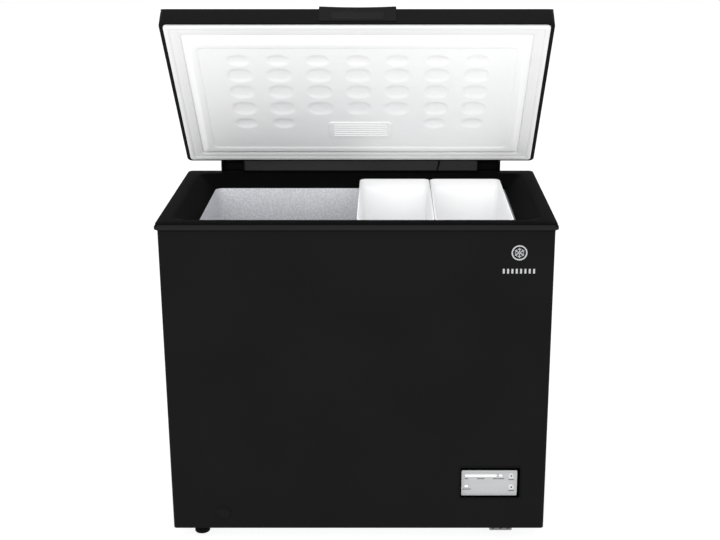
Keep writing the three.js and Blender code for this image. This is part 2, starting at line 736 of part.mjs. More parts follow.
// ---- lid, drawn closed ----
const PLUG = { side: 47, front: 41, rear: 37, bevel: 17, rim: 15, recess: 2, radius: 8 };
const LAMP = { x: 2, y: LID_REAR - 139.5, width: 158, depth: 62 };
const LAMP_BOARD = { width: 120, depth: 40, thickness: 1.6 };
const RAIL = { width: 12, front: 6, rear: 12 };
const HANDLE = { half: 88.5, nose: 5, tail: 14, ear: 6, earRise: 4.5, dipRise: 1 };
const SCOOP = { half: 62, height: 28 };
const plugAt = (extra, r) => inLid(PLUG.side + extra, PLUG.front + extra, PLUG.rear + extra, r);

function lidShell() {
  const shell = cut(
    loft([
      { ...inLid(0, 0, 0, 12), z: LID_BOTTOM },
      { ...inLid(0, 0, 0, 12), z: LID_TOP - 7 },
      { ...inLid(1.6, 1.6, 1.6, 10.5), z: LID_TOP - 2.6 },
      { ...inLid(5.5, 5.5, 5.5, 8), z: LID_TOP },
    ]),
    slab(inLid(LID_SKIN, LID_SKIN, LID_SKIN, 9), LID_BOTTOM + LID_SKIN, LID_TOP - LID_SKIN),
    slab(inLid(9.3, 6.7, 8.7, 9), LID_BOTTOM - 1, LID_BOTTOM + LID_SKIN + 1),
  );
  add(lidClosed, "lid_shell", shell, blackSheet);
  const { width, front, rear } = RAIL;
  for (const [name, x] of [["lid_rail_left", -RIGHT], ["lid_rail_right", RIGHT - width]]) {
    const outline = { x0: x + 0.4, x1: x + width - 0.4, y0: LID_FRONT + front, y1: LID_REAR - rear, r: 3 };
    const rail = loft([
      { ...outline, z: LID_TOP + GAP },
      { ...outline, z: LID_TOP + 2 },
      { ...outline, x0: outline.x0 + 1, x1: outline.x1 - 1, z: LID_TOP + 2.8 },
    ]);
    add(lidClosed, name, rail, blackPlastic);
  }
}

// White tray in the lid: a flange, a plug that reaches down into the frame, and a panel sunk in its rim.
function lidLiner() {
  const { bevel, rim, recess, radius } = PLUG;
  const face = LID_BOTTOM - PLUG_DEPTH;
  const liner = cut(
    join(
      slab(inLid(9.6, 7, 9, 8.5), LID_BOTTOM, LID_BOTTOM + 2.2),
      loft([
        { ...plugAt(bevel, radius + 3), z: face },
        { ...plugAt(0, radius), z: LID_BOTTOM },
        { ...plugAt(0, radius), z: LID_BOTTOM + 1 },
      ]),
    ),
    slab(plugAt(bevel + rim, 8), face - 1, face + recess),
    loft([
      { ...plugAt(bevel + 2, radius + 1), z: face + 4 },
      { ...plugAt(3, radius - 2), z: LID_BOTTOM + 2 },
      { ...plugAt(3, radius - 2), z: LID_BOTTOM + 3 },
    ]),
  );
  add(lidClosed, "lid_liner", liner, whitePlastic);
}

// Soft bulb that meets the frame, and the web that runs in to the plug.
function lidGasket() {
  const bulb = cut(
    loft([
      { ...inLid(12, 9.4, 12, 7), z: LID_BOTTOM - 5.6 },
      { ...inLid(10, 7.4, 10, 8), z: LID_BOTTOM - 4 },
      { ...inLid(10, 7.4, 10, 8), z: LID_BOTTOM - GAP },
    ]),
    slab(inLid(23, 20.4, 23, 6), LID_BOTTOM - 7, LID_BOTTOM + 1),
  );
  const web = slab(inLid(12, 9.4, 12, 7), LID_BOTTOM - 3.2, LID_BOTTOM - GAP);
  const inside = slab(plugAt(-1.5, PLUG.radius), LID_BOTTOM - 7, LID_BOTTOM + 1);
  const gasket = cut(join(bulb, web), inside);
  add(lidClosed, "lid_gasket", gasket, gasketWhite);
}

function lampAndFoam() {
  const { x, y, width, depth } = LAMP;
  const [halfWidth, halfDepth] = [LAMP_BOARD.width / 2, LAMP_BOARD.depth / 2];
  const board = [x - halfWidth, x + halfWidth, y - halfDepth, y + halfDepth];
  const floor = LID_BOTTOM - PLUG_DEPTH + 4 + GAP;
  add(lidClosed, "lamp_board", block(...board, floor, floor + LAMP_BOARD.thickness), boardGreen);
  const lens = { x0: x - width / 2, x1: x + width / 2, y0: y - depth / 2, y1: y + depth / 2, r: 9 };
  const cover = loft([
    { ...lens, x0: lens.x0 + 2, x1: lens.x1 - 2, y0: lens.y0 + 2, y1: lens.y1 - 2, z: LID_BOTTOM - 12.4 },
    { ...lens, z: LID_BOTTOM - 11 },
    { ...lens, z: LID_BOTTOM - 9 - GAP },
  ]);
  add(lidClosed, "lamp_cover", cover, whitePlastic);

  const foam = cut(
    join(
      slab(inLid(2.9, 2.9, 2.9, 8.6), LID_BOTTOM + LID_SKIN + GAP, LID_TOP - LID_SKIN - GAP),
      loft([
        { ...plugAt(PLUG.bevel + 2.6, PLUG.radius), z: floor },
        { ...plugAt(3.6, PLUG.radius - 2), z: LID_BOTTOM + 2 },
        { ...plugAt(3.6, PLUG.radius - 2), z: LID_BOTTOM + 4 },
      ]),
    ),
    block(board[0] - 1, board[1] + 1, board[2] - 1, board[3] + 1, LID_BOTTOM - 10, floor + 6),
  );
  add(lidClosed, "lid_foam", foam, foamYellow);
}

// Grip over the front edge, with raised ends, a dipped top and a shallow scoop in its face.
function lidHandle() {
  const { half, nose, tail, ear } = HANDLE;
  const [bottom, ears, dip] = [LID_BOTTOM + 4, LID_TOP + HANDLE.earRise, LID_TOP + HANDLE.dipRise];
  const front = new THREE.Shape();
  front.moveTo(-half, bottom);
  front.lineTo(half, bottom);
  front.lineTo(half, ears);
  front.lineTo(half - ear, ears);
  front.quadraticCurveTo(0, 2 * dip - ears, -half + ear, ears);
  front.lineTo(-half, ears);
  const scoop = new THREE.Shape();
  scoop.moveTo(-SCOOP.half, bottom - 1);
  scoop.lineTo(SCOOP.half, bottom - 1);
  scoop.quadraticCurveTo(SCOOP.half + 8, bottom + SCOOP.height - 4, SCOOP.half - 18, bottom + SCOOP.height);
  scoop.lineTo(18 - SCOOP.half, bottom + SCOOP.height);
  scoop.quadraticCurveTo(-SCOOP.half - 8, bottom + SCOOP.height - 4, -SCOOP.half, bottom - 1);
  const handle = cut(
    prismY(front, LID_FRONT - nose, tail),
    block(-half - 1, half + 1, LID_FRONT - GAP, tail + 6, bottom - 1, LID_TOP + GAP),
    prismY(scoop, LID_FRONT - nose - 1, LID_FRONT - 3),
  );
  add(lidClosed, "lid_handle", handle, blackPlastic);
}

function leadGrommet() {
  const profile = [
    [0, 0],
    [5, 0],
    [3.4, 2.6],
    [0, 2.6],
  ];
  add(lidClosed, "lead_grommet", lyingBack(profile, LEAD.top, LID_REAR + GAP, LID_BOTTOM + 8), footRubber);
}

// ---- baskets ----
// Deep tubs whose front and rear flanges rest on the frame's sloped collar.
function basket(name, [x0, x1]) {
  const [near, far] = [59.5, 450.5]; // edges of the flanges
  const level = (side, end, r, z) => ({ x0: x0 + side, x1: x1 - side, y0: near + end, y1: far - end, r, z });
  const outer = loft([
    level(12, 40, 12, BASKET_BOTTOM),
    level(9, 36, 14, BASKET_BOTTOM + 5),
    level(2, 24.2, 14, BASKET_TOP - 16),
    level(0.6, 0, 14, BASKET_TOP - 3.4),
    level(0, 0, 15, BASKET_TOP),
  ]);
  const inner = loft([
    level(14, 42, 10, BASKET_BOTTOM + 2.4),
    level(11.2, 38.2, 12, BASKET_BOTTOM + 7),
    level(4.2, 26.6, 12, BASKET_TOP - 14),
    level(2.4, 2.4, 12.5, BASKET_TOP + 0.2),
  ]);
  add(cabinet, name, cut(outer, inner), basketWhite);
}

outerWrap();
rearPanel();
sideGrille();
bottomPan();
innerLiner();
foamAndCircuit();
machinery();
topFrame();
controls();
drain();
feet();
hinge("left", -HINGE_X);
hinge("right", HINGE_X);
wiringStrip();
lampLead();
badge();
lidShell();
lidLiner();
lidGasket();
lampAndFoam();
lidHandle();
leadGrommet();
for (const [side, span] of Object.entries(BASKETS)) basket("basket_" + side, span);

export default freezer;
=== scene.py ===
"""A black chest freezer with its lid propped open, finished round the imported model."""
import json
import math

import bmesh
import bpy
from mathutils import Matrix, Vector


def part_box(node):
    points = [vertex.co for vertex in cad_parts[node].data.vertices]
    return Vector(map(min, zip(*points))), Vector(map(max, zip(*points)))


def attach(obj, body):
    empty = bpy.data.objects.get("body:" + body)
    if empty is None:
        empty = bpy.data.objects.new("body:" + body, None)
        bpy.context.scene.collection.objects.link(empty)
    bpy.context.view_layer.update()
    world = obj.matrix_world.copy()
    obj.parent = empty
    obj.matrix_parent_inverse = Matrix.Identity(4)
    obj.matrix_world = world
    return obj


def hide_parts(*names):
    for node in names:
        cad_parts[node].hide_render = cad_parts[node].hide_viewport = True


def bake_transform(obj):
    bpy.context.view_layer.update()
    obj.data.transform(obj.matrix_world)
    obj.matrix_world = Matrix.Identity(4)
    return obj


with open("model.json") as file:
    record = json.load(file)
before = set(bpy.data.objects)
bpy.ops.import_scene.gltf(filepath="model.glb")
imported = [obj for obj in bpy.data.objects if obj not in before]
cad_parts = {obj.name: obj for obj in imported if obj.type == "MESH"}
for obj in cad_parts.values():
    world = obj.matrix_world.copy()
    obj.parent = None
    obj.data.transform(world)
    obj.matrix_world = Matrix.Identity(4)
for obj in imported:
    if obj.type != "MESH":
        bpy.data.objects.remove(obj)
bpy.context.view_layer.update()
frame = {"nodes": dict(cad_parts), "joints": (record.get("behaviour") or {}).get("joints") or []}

# ---- millimetres: x from the middle, y back from the top frame's front edge, z up from the floor ----
MM = 0.001
TO_ROW = Matrix.Translation((0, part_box("top_frame")[0][1], 0)) @ Matrix.Scale(MM, 4)
TO_MM = TO_ROW.inverted()
LID_HINGE = next(j for j in frame["joints"] if j["name"] == "lid_hinge")
AXIS = TO_MM @ Vector(LID_HINGE["pos_m"])
OPEN = math.radians(LID_HINGE["range_deg"][1])  # from closed to the propped pose
OPENED = Matrix.Translation(AXIS) @ Matrix.Rotation(-OPEN, 4, "X") @ Matrix.Translation(-AXIS)
OUTWARD = Matrix.Rotation(math.radians(90), 4, "X")  # drawn in x and z with +Z out of the front wall
REARWARD = Matrix.Rotation(math.radians(-90), 4, "X")  # the same out of the rear wall, with z upside down


def span(*nodes, turn=Matrix.Identity(4)):
    """Lowest and highest corner of CAD nodes, in millimetres."""
    points = [turn @ TO_MM @ v.co for n in nodes for v in frame["nodes"][n].data.vertices]
    return [Vector([pick(p[i] for p in points) for i in range(3)]) for pick in (min, max)]


def lid_span(*nodes):
    """The same for the lid's nodes, with the lid closed."""
    return span(*nodes, turn=OPENED.inverted())


# ---- camera and light ----
def camera():
    lens = bpy.data.cameras.new("camera")
    lens.lens = 61.4
    lens.sensor_width = 36
    lens.shift_x = -0.03647
    lens.shift_y = -0.02947
    lens.clip_end = 50
    eye = bpy.data.objects.new("camera", lens)
    bpy.context.collection.objects.link(eye)
    tilt = math.radians(90 - 17.226)
    eye.matrix_world = (
        Matrix.Translation(TO_ROW @ Vector((67.1, -2638.7, 1556.1))) @ Matrix.Rotation(tilt, 4, "X")
    )
    bpy.context.scene.camera = eye
    return eye


def softbox(name, place, aim, size, watts):
    light = bpy.data.lights.new(name, "AREA")
    light.shape = "RECTANGLE"
    light.size, light.size_y = size
    light.energy = watts
    lamp = bpy.data.objects.new(name, light)
    bpy.context.collection.objects.link(lamp)
    toward = Vector(aim) - Vector(place)
    lamp.matrix_world = Matrix.Translation(place) @ toward.to_track_quat("-Z", "Y").to_matrix().to_4x4()


def studio():
    scene = bpy.context.scene
    scene.view_settings.view_transform = "Standard"
    world = bpy.data.worlds.new("studio")
    world.use_nodes = True
    world.node_tree.nodes["Background"].inputs["Color"].default_value = (1, 1, 1, 1)
    world.node_tree.nodes["Background"].inputs["Strength"].default_value = 1.0
    scene.world = world
    softbox("key", (-0.4, -4.0, 1.7), (0, 0.1, 0.95), (3.2, 1.4), 66)
    softbox("top", (0.2, -0.7, 3.4), (0, 0, 0.7), (1.4, 1.2), 18)


# ---- shader maths ----
class Wire:
    """A value that varies over a surface. Arithmetic on it adds Math nodes."""

    def __init__(self, paint, socket):
        self.paint, self.socket = paint, socket

    def math(self, operation, a, b=0.0):
        return self.paint.node("ShaderNodeMath", {"operation": operation}, {0: a, 1: b})

    def __add__(self, other):
        return self.math("ADD", self, other)

    def __mul__(self, other):
        return self.math("MULTIPLY", self, other)

    def __sub__(self, other):
        return self.math("SUBTRACT", self, other)

    def __rsub__(self, other):
        return self.math("SUBTRACT", other, self)

    def __pow__(self, other):
        return self.math("POWER", self, other)

    __radd__, __rmul__ = __add__, __mul__

    def between(self, low, high):
        """0 below low, 1 above high."""
        return self.paint.node(
            "ShaderNodeMapRange", {"clamp": True}, {"Value": self, "From Min": low, "From Max": high}
        )


class Paint:
    """A Principled material and the nodes that vary it."""

    def __init__(self, name, colour, roughness, metallic=0.0, specular=0.5, coat=0.0):
        self.material = bpy.data.materials.new(name)
        self.material.use_nodes = True
        self.tree = self.material.node_tree
        self.shader = self.tree.nodes["Principled BSDF"]
        self.fixed(
            {
                "Base Color": (*colour, 1),
                "Roughness": roughness,
                "Metallic": metallic,
                "Specular IOR Level": specular,
                "Coat Weight": coat,
            }
        )
        self.place = self.node("ShaderNodeTexCoord", output="Object")

    def fixed(self, values):
        for socket, value in values.items():
            self.shader.inputs[socket].default_value = value

    def node(self, kind, settings=None, inputs=None, output=0):
        made = self.tree.nodes.new(kind)
        for key, value in (settings or {}).items():
            if key == "stops":
                for stop, (at, colour) in zip(made.color_ramp.elements, value):
                    stop.position, stop.color = at, colour
            else:
                setattr(made, key, value)
        for key, value in (inputs or {}).items():
            if isinstance(value, Wire):
                self.tree.links.new(value.socket, made.inputs[key])
            else:
                made.inputs[key].default_value = value
        return Wire(self, made.outputs[output])

    def noise(self, scale, detail=2.0, stretch=None):
        place = self.place
        if stretch:
            place = self.node("ShaderNodeMapping", inputs={"Vector": place, "Scale": stretch})
        inputs = {"Vector": place, "Scale": scale, "Detail": detail}
        return self.node("ShaderNodeTexNoise", inputs=inputs)

    def cells(self, scale, feature="F1", output="Distance"):
        settings = {"feature": feature}
        inputs = {"Vector": self.place, "Scale": scale}
        return self.node("ShaderNodeTexVoronoi", settings, inputs, output)

    def mix(self, factor, a, b):
        inputs = {0: factor, 6: (*a, 1), 7: (*b, 1)}
        return self.node("ShaderNodeMix", {"data_type": "RGBA"}, inputs, 2)

    def feed(self, socket, wire):
        self.tree.links.new(wire.socket, self.shader.inputs[socket])

    def relief(self, height, depth_mm, strength=1.0):
        inputs = {"Height": height, "Distance": depth_mm * MM, "Strength": strength}
        self.feed("Normal", self.node("ShaderNodeBump", inputs=inputs, output="Normal"))


def wear(paint, light, dark, roughness, spread=0.06):
    """Broad, faint clouding of colour and gloss, as handled and wiped surfaces have."""
    cloud = paint.noise(4.5, 4)
    paint.feed("Base Color", paint.mix(cloud.between(0.35, 0.65), dark, light))
    fine = paint.noise(60, 3)
    paint.feed("Roughness", roughness + (cloud - 0.5) * spread + (fine - 0.5) * spread)
    return fine


def black_sheet():
    paint = Paint("black_satin_paint", (0.006, 0.006, 0.006), 0.42, specular=0.02)
    wear(paint, (0.0078, 0.0078, 0.0080), (0.0070, 0.0070, 0.0072), 0.42)
    paint.relief(paint.noise(620, 2), 0.05, 0.25)  # orange peel of sprayed enamel
    return paint.material


def black_plastic(name="black_plastic", shade=0.0105, roughness=0.5, specular=0.2):
    paint = Paint(name, (shade,) * 3, roughness, specular=specular)
    wear(paint, (shade * 1.1,) * 3, (shade * 0.9,) * 3, roughness)
    paint.relief(paint.noise(1500, 3), 0.04, 0.35)  # fine moulded grain
    return paint.material


def frame_plastic():
    """Matt black moulding; its lip below the flat top is painted greyer as painted light, for the front
    light on the upright lip.
    """
    paint = Paint("frame_plastic", (0.002, 0.002, 0.002), 0.5, specular=0.004)
    x, y, z = (paint.node("ShaderNodeSeparateXYZ", inputs={0: paint.place}, output=i) for i in range(3))
    low, (side, rear, top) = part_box("top_frame")
    middle = (low[1] + rear) / 2
    aside = x.math("ABSOLUTE", x) - (side - 2 * MM)
    ahead = x.math("ABSOLUTE", y - middle) - (rear - middle - 2 * MM)
    rim = x.math("MAXIMUM", aside, ahead).between(0, MM)
    lip = rim * (1 - z.between(top - 4 * MM, top - 2 * MM))
    # Painted light: the lip band gets a greyer colour than the top, for the light falling on its upright
    # face.
    painted_lip_light = lip * (0.85 + paint.noise(5, 4) * 0.3)
    paint.feed("Base Color", paint.mix(painted_lip_light, (0.0034, 0.0034, 0.0035), (0.0155, 0.0155, 0.0157)))
    paint.feed("Roughness", 0.47 + paint.noise(60, 3) * 0.06)
    paint.relief(paint.noise(1500, 3), 0.04, 0.35)
    return paint.material


def recess_plastic():
    """Satin flange that matches the wall, dead black inside as painted shade for the recess."""
    paint = Paint("recess_plastic", (0.001, 0.001, 0.001), 0.55, specular=0.006)
    depth = paint.node("ShaderNodeSeparateXYZ", inputs={0: paint.place}, output=1)
    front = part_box("control_bezel")[0][1]
    # Painted shade: past the flange's depth the colour falls to near black, for the shade inside the
    # recess.
    recess_shade = depth.between(front + 0.5 * MM, front + 2 * MM)
    paint.feed("Base Color", paint.mix(recess_shade, (0.0068, 0.0068, 0.007), (0.0008, 0.0008, 0.0008)))
    paint.feed("Roughness", 0.52 + paint.noise(60, 3) * 0.06)
    paint.relief(paint.noise(1500, 3), 0.04, 0.35)
    return paint.material


def white_plastic(name, light, dark, roughness, grain=0.12):
    paint = Paint(name, light, roughness, specular=0.4)
    wear(paint, light, dark, roughness)
    paint.relief(paint.noise(900, 2), 0.02, grain)
    return paint.material


def stucco_aluminium():
    """Embossed sheet: small raised pebbles, painted lighter on their tops and darker between them, as
    painted highlight and painted shade.
    """
    paint = Paint("stucco_aluminium", (0.8, 0.8, 0.82), 0.4, metallic=0.25)
    pebble = paint.cells(250, "SMOOTH_F1") * 0.6 + paint.cells(520) * 0.25 + paint.noise(700, 2) * 0.35
    # Painted highlight and shade: the pebbles' tops take the light colour, the hollows between them the
    # dark.
    face = pebble.between(0.25, 0.62)
    paint.feed("Base Color", paint.mix(face, (0.94, 0.945, 0.965), (0.68, 0.685, 0.715)))
    paint.feed("Roughness", 0.34 + face * 0.14 + (paint.noise(14, 3) - 0.5) * 0.12)
    paint.relief(1 - pebble, 0.5, 0.75)
    return paint.material


def galvanised():
    paint = Paint("galvanised_steel", (0.4, 0.41, 0.43), 0.45, metallic=0.75)
    spangle = paint.cells(55, output="Color")
    grey = paint.node("ShaderNodeSeparateColor", inputs={0: spangle})
    paint.feed("Base Color", paint.mix(grey, (0.33, 0.34, 0.36), (0.43, 0.44, 0.46)))
    paint.feed("Roughness", 0.4 + grey * 0.14 + paint.noise(90, 3) * 0.06)
    paint.relief(paint.noise(240, 3), 0.03, 0.3)
    return paint.material


def copper():
    paint = Paint("copper_pipe", (0.5, 0.24, 0.14), 0.35, metallic=0.9)
    dull = paint.noise(45, 4).between(0.4, 0.7)
    paint.feed("Base Color", paint.mix(dull, (0.58, 0.28, 0.17), (0.25, 0.13, 0.09)))
    paint.feed("Roughness", 0.28 + dull * 0.3)
    return paint.material


def rigid_foam():
    paint = Paint("rigid_foam", (0.72, 0.6, 0.34), 0.9, specular=0.2)
    bubbles = paint.cells(420)
    paint.feed("Base Color", paint.mix(bubbles.between(0.1, 0.7), (0.6, 0.48, 0.25), (0.78, 0.67, 0.4)))
    paint.relief(bubbles, 0.6, 0.8)
    return paint.material


def silver_face():
    """Silver-painted plastic with the fine sideways brushing of a printed panel."""
    paint = Paint("silver_face", (0.5, 0.5, 0.5), 0.42, metallic=0.1, specular=0.3)
    brush = paint.noise(260, 3, stretch=(0.06, 1, 3.5))
    paint.feed("Base Color", paint.mix(brush.between(0.3, 0.7), (0.40, 0.405, 0.41), (0.435, 0.44, 0.445)))
    paint.feed("Roughness", 0.38 + brush * 0.1)
    paint.relief(brush, 0.01, 0.2)
    return paint.material


def circuit_board():
    paint = Paint("circuit_board", (0.03, 0.14, 0.05), 0.5)
    tracks = paint.cells(260, "DISTANCE_TO_EDGE").between(0.03, 0.06)
    paint.feed("Base Color", paint.mix(tracks, (0.05, 0.2, 0.08), (0.02, 0.11, 0.04)))
    return paint.material


def floor_paint():
    """Backlit white sweep, so that shadows on it stay faint."""
    paint = Paint("pale_floor", (0.25, 0.25, 0.25), 0.85, specular=0.1)
    cloud = paint.noise(2.0, 2)
    paint.feed("Base Color", paint.mix(cloud, (0.245, 0.245, 0.245), (0.255, 0.255, 0.255)))
    paint.fixed({"Emission Color": (1, 1, 1, 1), "Emission Strength": 0.82})
    return paint.material


SHEET = black_sheet()
PLASTIC = black_plastic(shade=0.0074, specular=0.05)
FRAME_BLACK = frame_plastic()
RECESS_SHADED = recess_plastic()
# Near black for the seam under the frame's lip: painted shade for the seam's shadow.
SEAM_SHADOW_BLACK = black_plastic("seam_shadow_black", 0.0012, 0.6, 0.006)
# Lighter black for the pad in the handle's pocket: painted light on the scoop's face.
GRIP_PAD_PAINTED_LIGHT = black_plastic("grip_pad_painted_light", 0.0115, 0.6, 0.05)
HINGE_BLACK = black_plastic("hinge_black", 0.003, 0.55, 0.04)
STRIP_GREY = black_plastic("strip_grey", 0.034, 0.6, 0.06)
RUBBER = black_plastic("black_rubber", 0.003, 0.75, 0.05)
SHELL_BLACK = black_plastic("compressor_shell", 0.01, 0.45, 0.4)
FOOT_GREY = black_plastic("foot_grey", 0.17, 0.65, 0.3)
LID_WHITE = white_plastic("lid_white", (0.875, 0.877, 0.88), (0.855, 0.857, 0.86), 0.4)
WHITE = white_plastic("white_plastic", (0.82, 0.825, 0.83), (0.78, 0.785, 0.79), 0.42)
GASKET = white_plastic("gasket_white", (0.78, 0.78, 0.782), (0.76, 0.76, 0.762), 0.6, 0.2)
BASKET = white_plastic("basket_white", (0.93, 0.932, 0.936), (0.915, 0.917, 0.921), 0.38)
LENS = white_plastic("lens_white", (0.93, 0.93, 0.93), (0.9, 0.9, 0.9), 0.22, 0.05)
BUTTON = white_plastic("button_white", (0.62, 0.625, 0.63), (0.58, 0.585, 0.59), 0.35)
INK = black_plastic("printed_ink", 0.03, 0.6, 0.1)
SILVER = silver_face()
STUCCO = stucco_aluminium()
ZINC = galvanised()
COPPER = copper()
FOAM = rigid_foam()
BOARD = circuit_board()


# ---- modelling helpers, in millimetres ----
def cuboid(low, high):
    bm = bmesh.new()
    bmesh.ops.create_cube(bm, size=1)
    low, high = Vector(low), Vector(high)
    bmesh.ops.scale(bm, vec=high - low, verts=bm.verts)
    bmesh.ops.translate(bm, vec=(low + high) / 2, verts=bm.verts)
    return bm


def round_edges(bm, edges, width, segments=6):
    bmesh.ops.bevel(
        bm,
        geom=list(edges),
        offset=width,
        offset_type="OFFSET",
        segments=segments,
        profile=0.5,
        affect="EDGES",
        material=-1,
        clamp_overlap=True,
    )


def upright(edge):
    a, b = edge.verts
    return abs(a.co.z - b.co.z) > 0.9 * edge.calc_length()


def rounded_slab(low, high, radius, segments=8):
    """A block with its upright edges rounded."""
    bm = cuboid(low, high)
    round_edges(bm, [e for e in bm.edges if upright(e)], radius, segments)
    return bm


def ring(bm, x0, x1, y0, y1, r, z, segments=6):
    """The edges of a level rounded rectangle."""
    others = set(bm.faces)
    verts = bmesh.ops.create_grid(bm, x_segments=1, y_segments=1, size=0.5)["verts"]
    bmesh.ops.scale(bm, vec=(x1 - x0, y1 - y0, 1), verts=verts)
    bmesh.ops.translate(bm, vec=((x0 + x1) / 2, (y0 + y1) / 2, z), verts=verts)
    bmesh.ops.bevel(
        bm,
        geom=verts,
        offset=r,
        offset_type="OFFSET",
        segments=segments,
        profile=0.5,
        affect="VERTICES",
        material=-1,
    )
    face = next(f for f in bm.faces if f not in others)
    edges = list(face.edges)
    bmesh.ops.delete(bm, geom=[face], context="FACES_ONLY")
    return edges


STAGGER = 0.02  # keeps neighbouring rings from lying in one plane, where a bridge between them is ambiguous


def loft(levels, closed=False, segments=6):
    """A skin through rounded rectangles (x0, x1, y0, y1, r, z), capped at both ends or closed on itself."""
    bm = bmesh.new()
    rings = []
    for i, (*outline, height) in enumerate(levels):
        rings.append(ring(bm, *outline, height + STAGGER * (i % 2), segments))
    pairs = list(zip(rings, rings[1:])) + ([(rings[-1], rings[0])] if closed else [])
    for a, b in pairs:
        bmesh.ops.bridge_loops(bm, edges=a + b)
    if not closed:
        for end in (rings[0], rings[-1]):
            bmesh.ops.contextual_create(bm, geom=end)
    bmesh.ops.recalc_face_normals(bm, faces=bm.faces)
    return bm


def spun(profile, steps=48):
    """A profile of (radius, height) spun about Z."""
    bm = bmesh.new()
    verts = [bm.verts.new((r, 0, h)) for r, h in profile]
    edges = [bm.edges.new(pair) for pair in zip(verts, verts[1:])]
    bmesh.ops.spin(
        bm,
        geom=verts + edges,
        cent=(0, 0, 0),
        axis=(0, 0, 1),
        angle=2 * math.pi,
        steps=steps,
        use_merge=True,
    )
    bmesh.ops.remove_doubles(bm, verts=bm.verts, dist=1e-4)
    bmesh.ops.recalc_face_normals(bm, faces=bm.faces)
    return bm


def arc(centre, radius, start, end, steps=10):
    """Points of an arc in the outline's plane, angles in degrees."""
    turns = [math.radians(start + (end - start) * i / steps) for i in range(steps + 1)]
    return [(centre[0] + radius * math.cos(a), centre[1] + radius * math.sin(a)) for a in turns]


def prism(outline, low, high, across="X"):
    """An outline pushed along X (drawn in y, z) or along Y (drawn in x, z)."""
    bm = bmesh.new()
    put = (lambda u, v: (low, u, v)) if across == "X" else (lambda u, v: (u, low, v))
    face = bm.faces.new([bm.verts.new(put(u, v)) for u, v in outline])
    far = bmesh.ops.extrude_face_region(bm, geom=[face])["geom"]
    move = (high - low, 0, 0) if across == "X" else (0, high - low, 0)
    bmesh.ops.translate(bm, vec=move, verts=[v for v in far if isinstance(v, bmesh.types.BMVert)])
    bmesh.ops.recalc_face_normals(bm, faces=bm.faces)
    return bm


def moved(bm, *turns):
    for turn in turns:
        bm.transform(turn if isinstance(turn, Matrix) else Matrix.Translation(turn))
    return bm


def gather(*parts):
    """Several meshes as one."""
    whole = bmesh.new()
    for part in parts:
        mesh = bpy.data.meshes.new("part")
        part.to_mesh(mesh)
        part.free()
        whole.from_mesh(mesh)
        bpy.data.meshes.remove(mesh)
    return whole


def stand_in(bm):
    mesh = bpy.data.meshes.new("tool")
    bm.to_mesh(mesh)
    bm.free()
    tool = bpy.data.objects.new("tool", mesh)
    bpy.context.collection.objects.link(tool)
    return tool


def carve(bm, *cutters):
    """bm with each cutter taken away from it."""
    whole = stand_in(bm)
    tools = [stand_in(cutter) for cutter in cutters]
    for tool in tools:
        step = whole.modifiers.new("cut", "BOOLEAN")
        step.operation, step.object, step.solver = "DIFFERENCE", tool, "EXACT"
    result = bmesh.new()
    result.from_object(whole, bpy.context.evaluated_depsgraph_get())
    for tool in [whole, *tools]:
        mesh = tool.data
        bpy.data.objects.remove(tool)
        bpy.data.meshes.remove(mesh)
    bmesh.ops.remove_doubles(result, verts=result.verts, dist=1e-3)
    return result


def piece(name, bm, material, body, stands_for=(), on_lid=False, edge=0.0, sharp=32):
    """Puts a finished mesh in the scene. A piece of the lid is drawn closed and turned open here."""
    if on_lid:
        bm.transform(OPENED)
    bm.transform(TO_ROW)
    mesh = bpy.data.meshes.new(name)
    bm.to_mesh(mesh)
    bm.free()
    mesh.shade_smooth()
    mesh.set_sharp_from_angle(angle=math.radians(sharp))
    mesh.materials.append(material)
    made = bpy.data.objects.new(name, mesh)
    bpy.context.collection.objects.link(made)
    if edge:
        soften = made.modifiers.new("edges", "BEVEL")
        soften.width, soften.segments = edge * MM, 2
        soften.limit_method, soften.angle_limit = "ANGLE", math.radians(35)
        soften.harden_normals = True
    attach(made, body)
    if stands_for:
        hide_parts(*stands_for)
    return made


def finish_node(node, material):
    """A CAD node whose own shape is right takes a finish."""
    mesh = frame["nodes"][node].data
    mesh.materials.clear()
    mesh.materials.append(material)


# ---- cabinet ----
def outer_wrap():
    low, high = span("outer_wrap")
    skin, corner = 1.5, 8
    shell = carve(
        rounded_slab(low, high, corner),
        rounded_slab(low + Vector((skin, skin, -9)), high + Vector((-skin, -skin, 9)), corner - skin),
        cuboid((low.x + 12, high.y - 5, low.z - 9), (high.x - 12, high.y + 5, high.z + 9)),
        control_hole(2.4),
        drain_hole(),
        grille_hole(),
    )
    piece("outer_wrap_sheet", shell, SHEET, "cabinet", ["outer_wrap"], edge=0.35)


def control_hole(inset):
    low, high = span("control_bezel")
    return cuboid((low.x + inset, -5, low.z + inset + 2), (high.x - inset - 2.5, 40, high.z - inset))


def drain_hole():
    low, high = span("drain_cap")
    centre = (low + high) / 2
    return moved(spun([(0, -30), (13, -30), (13, 30), (0, 30)]), OUTWARD, (centre.x, 0, centre.z))


def grille_hole():
    low, high = span("side_grille")
    return cuboid(low - Vector((5, 0.3, 0.3)), high + Vector((5, 0.3, 0.3)))


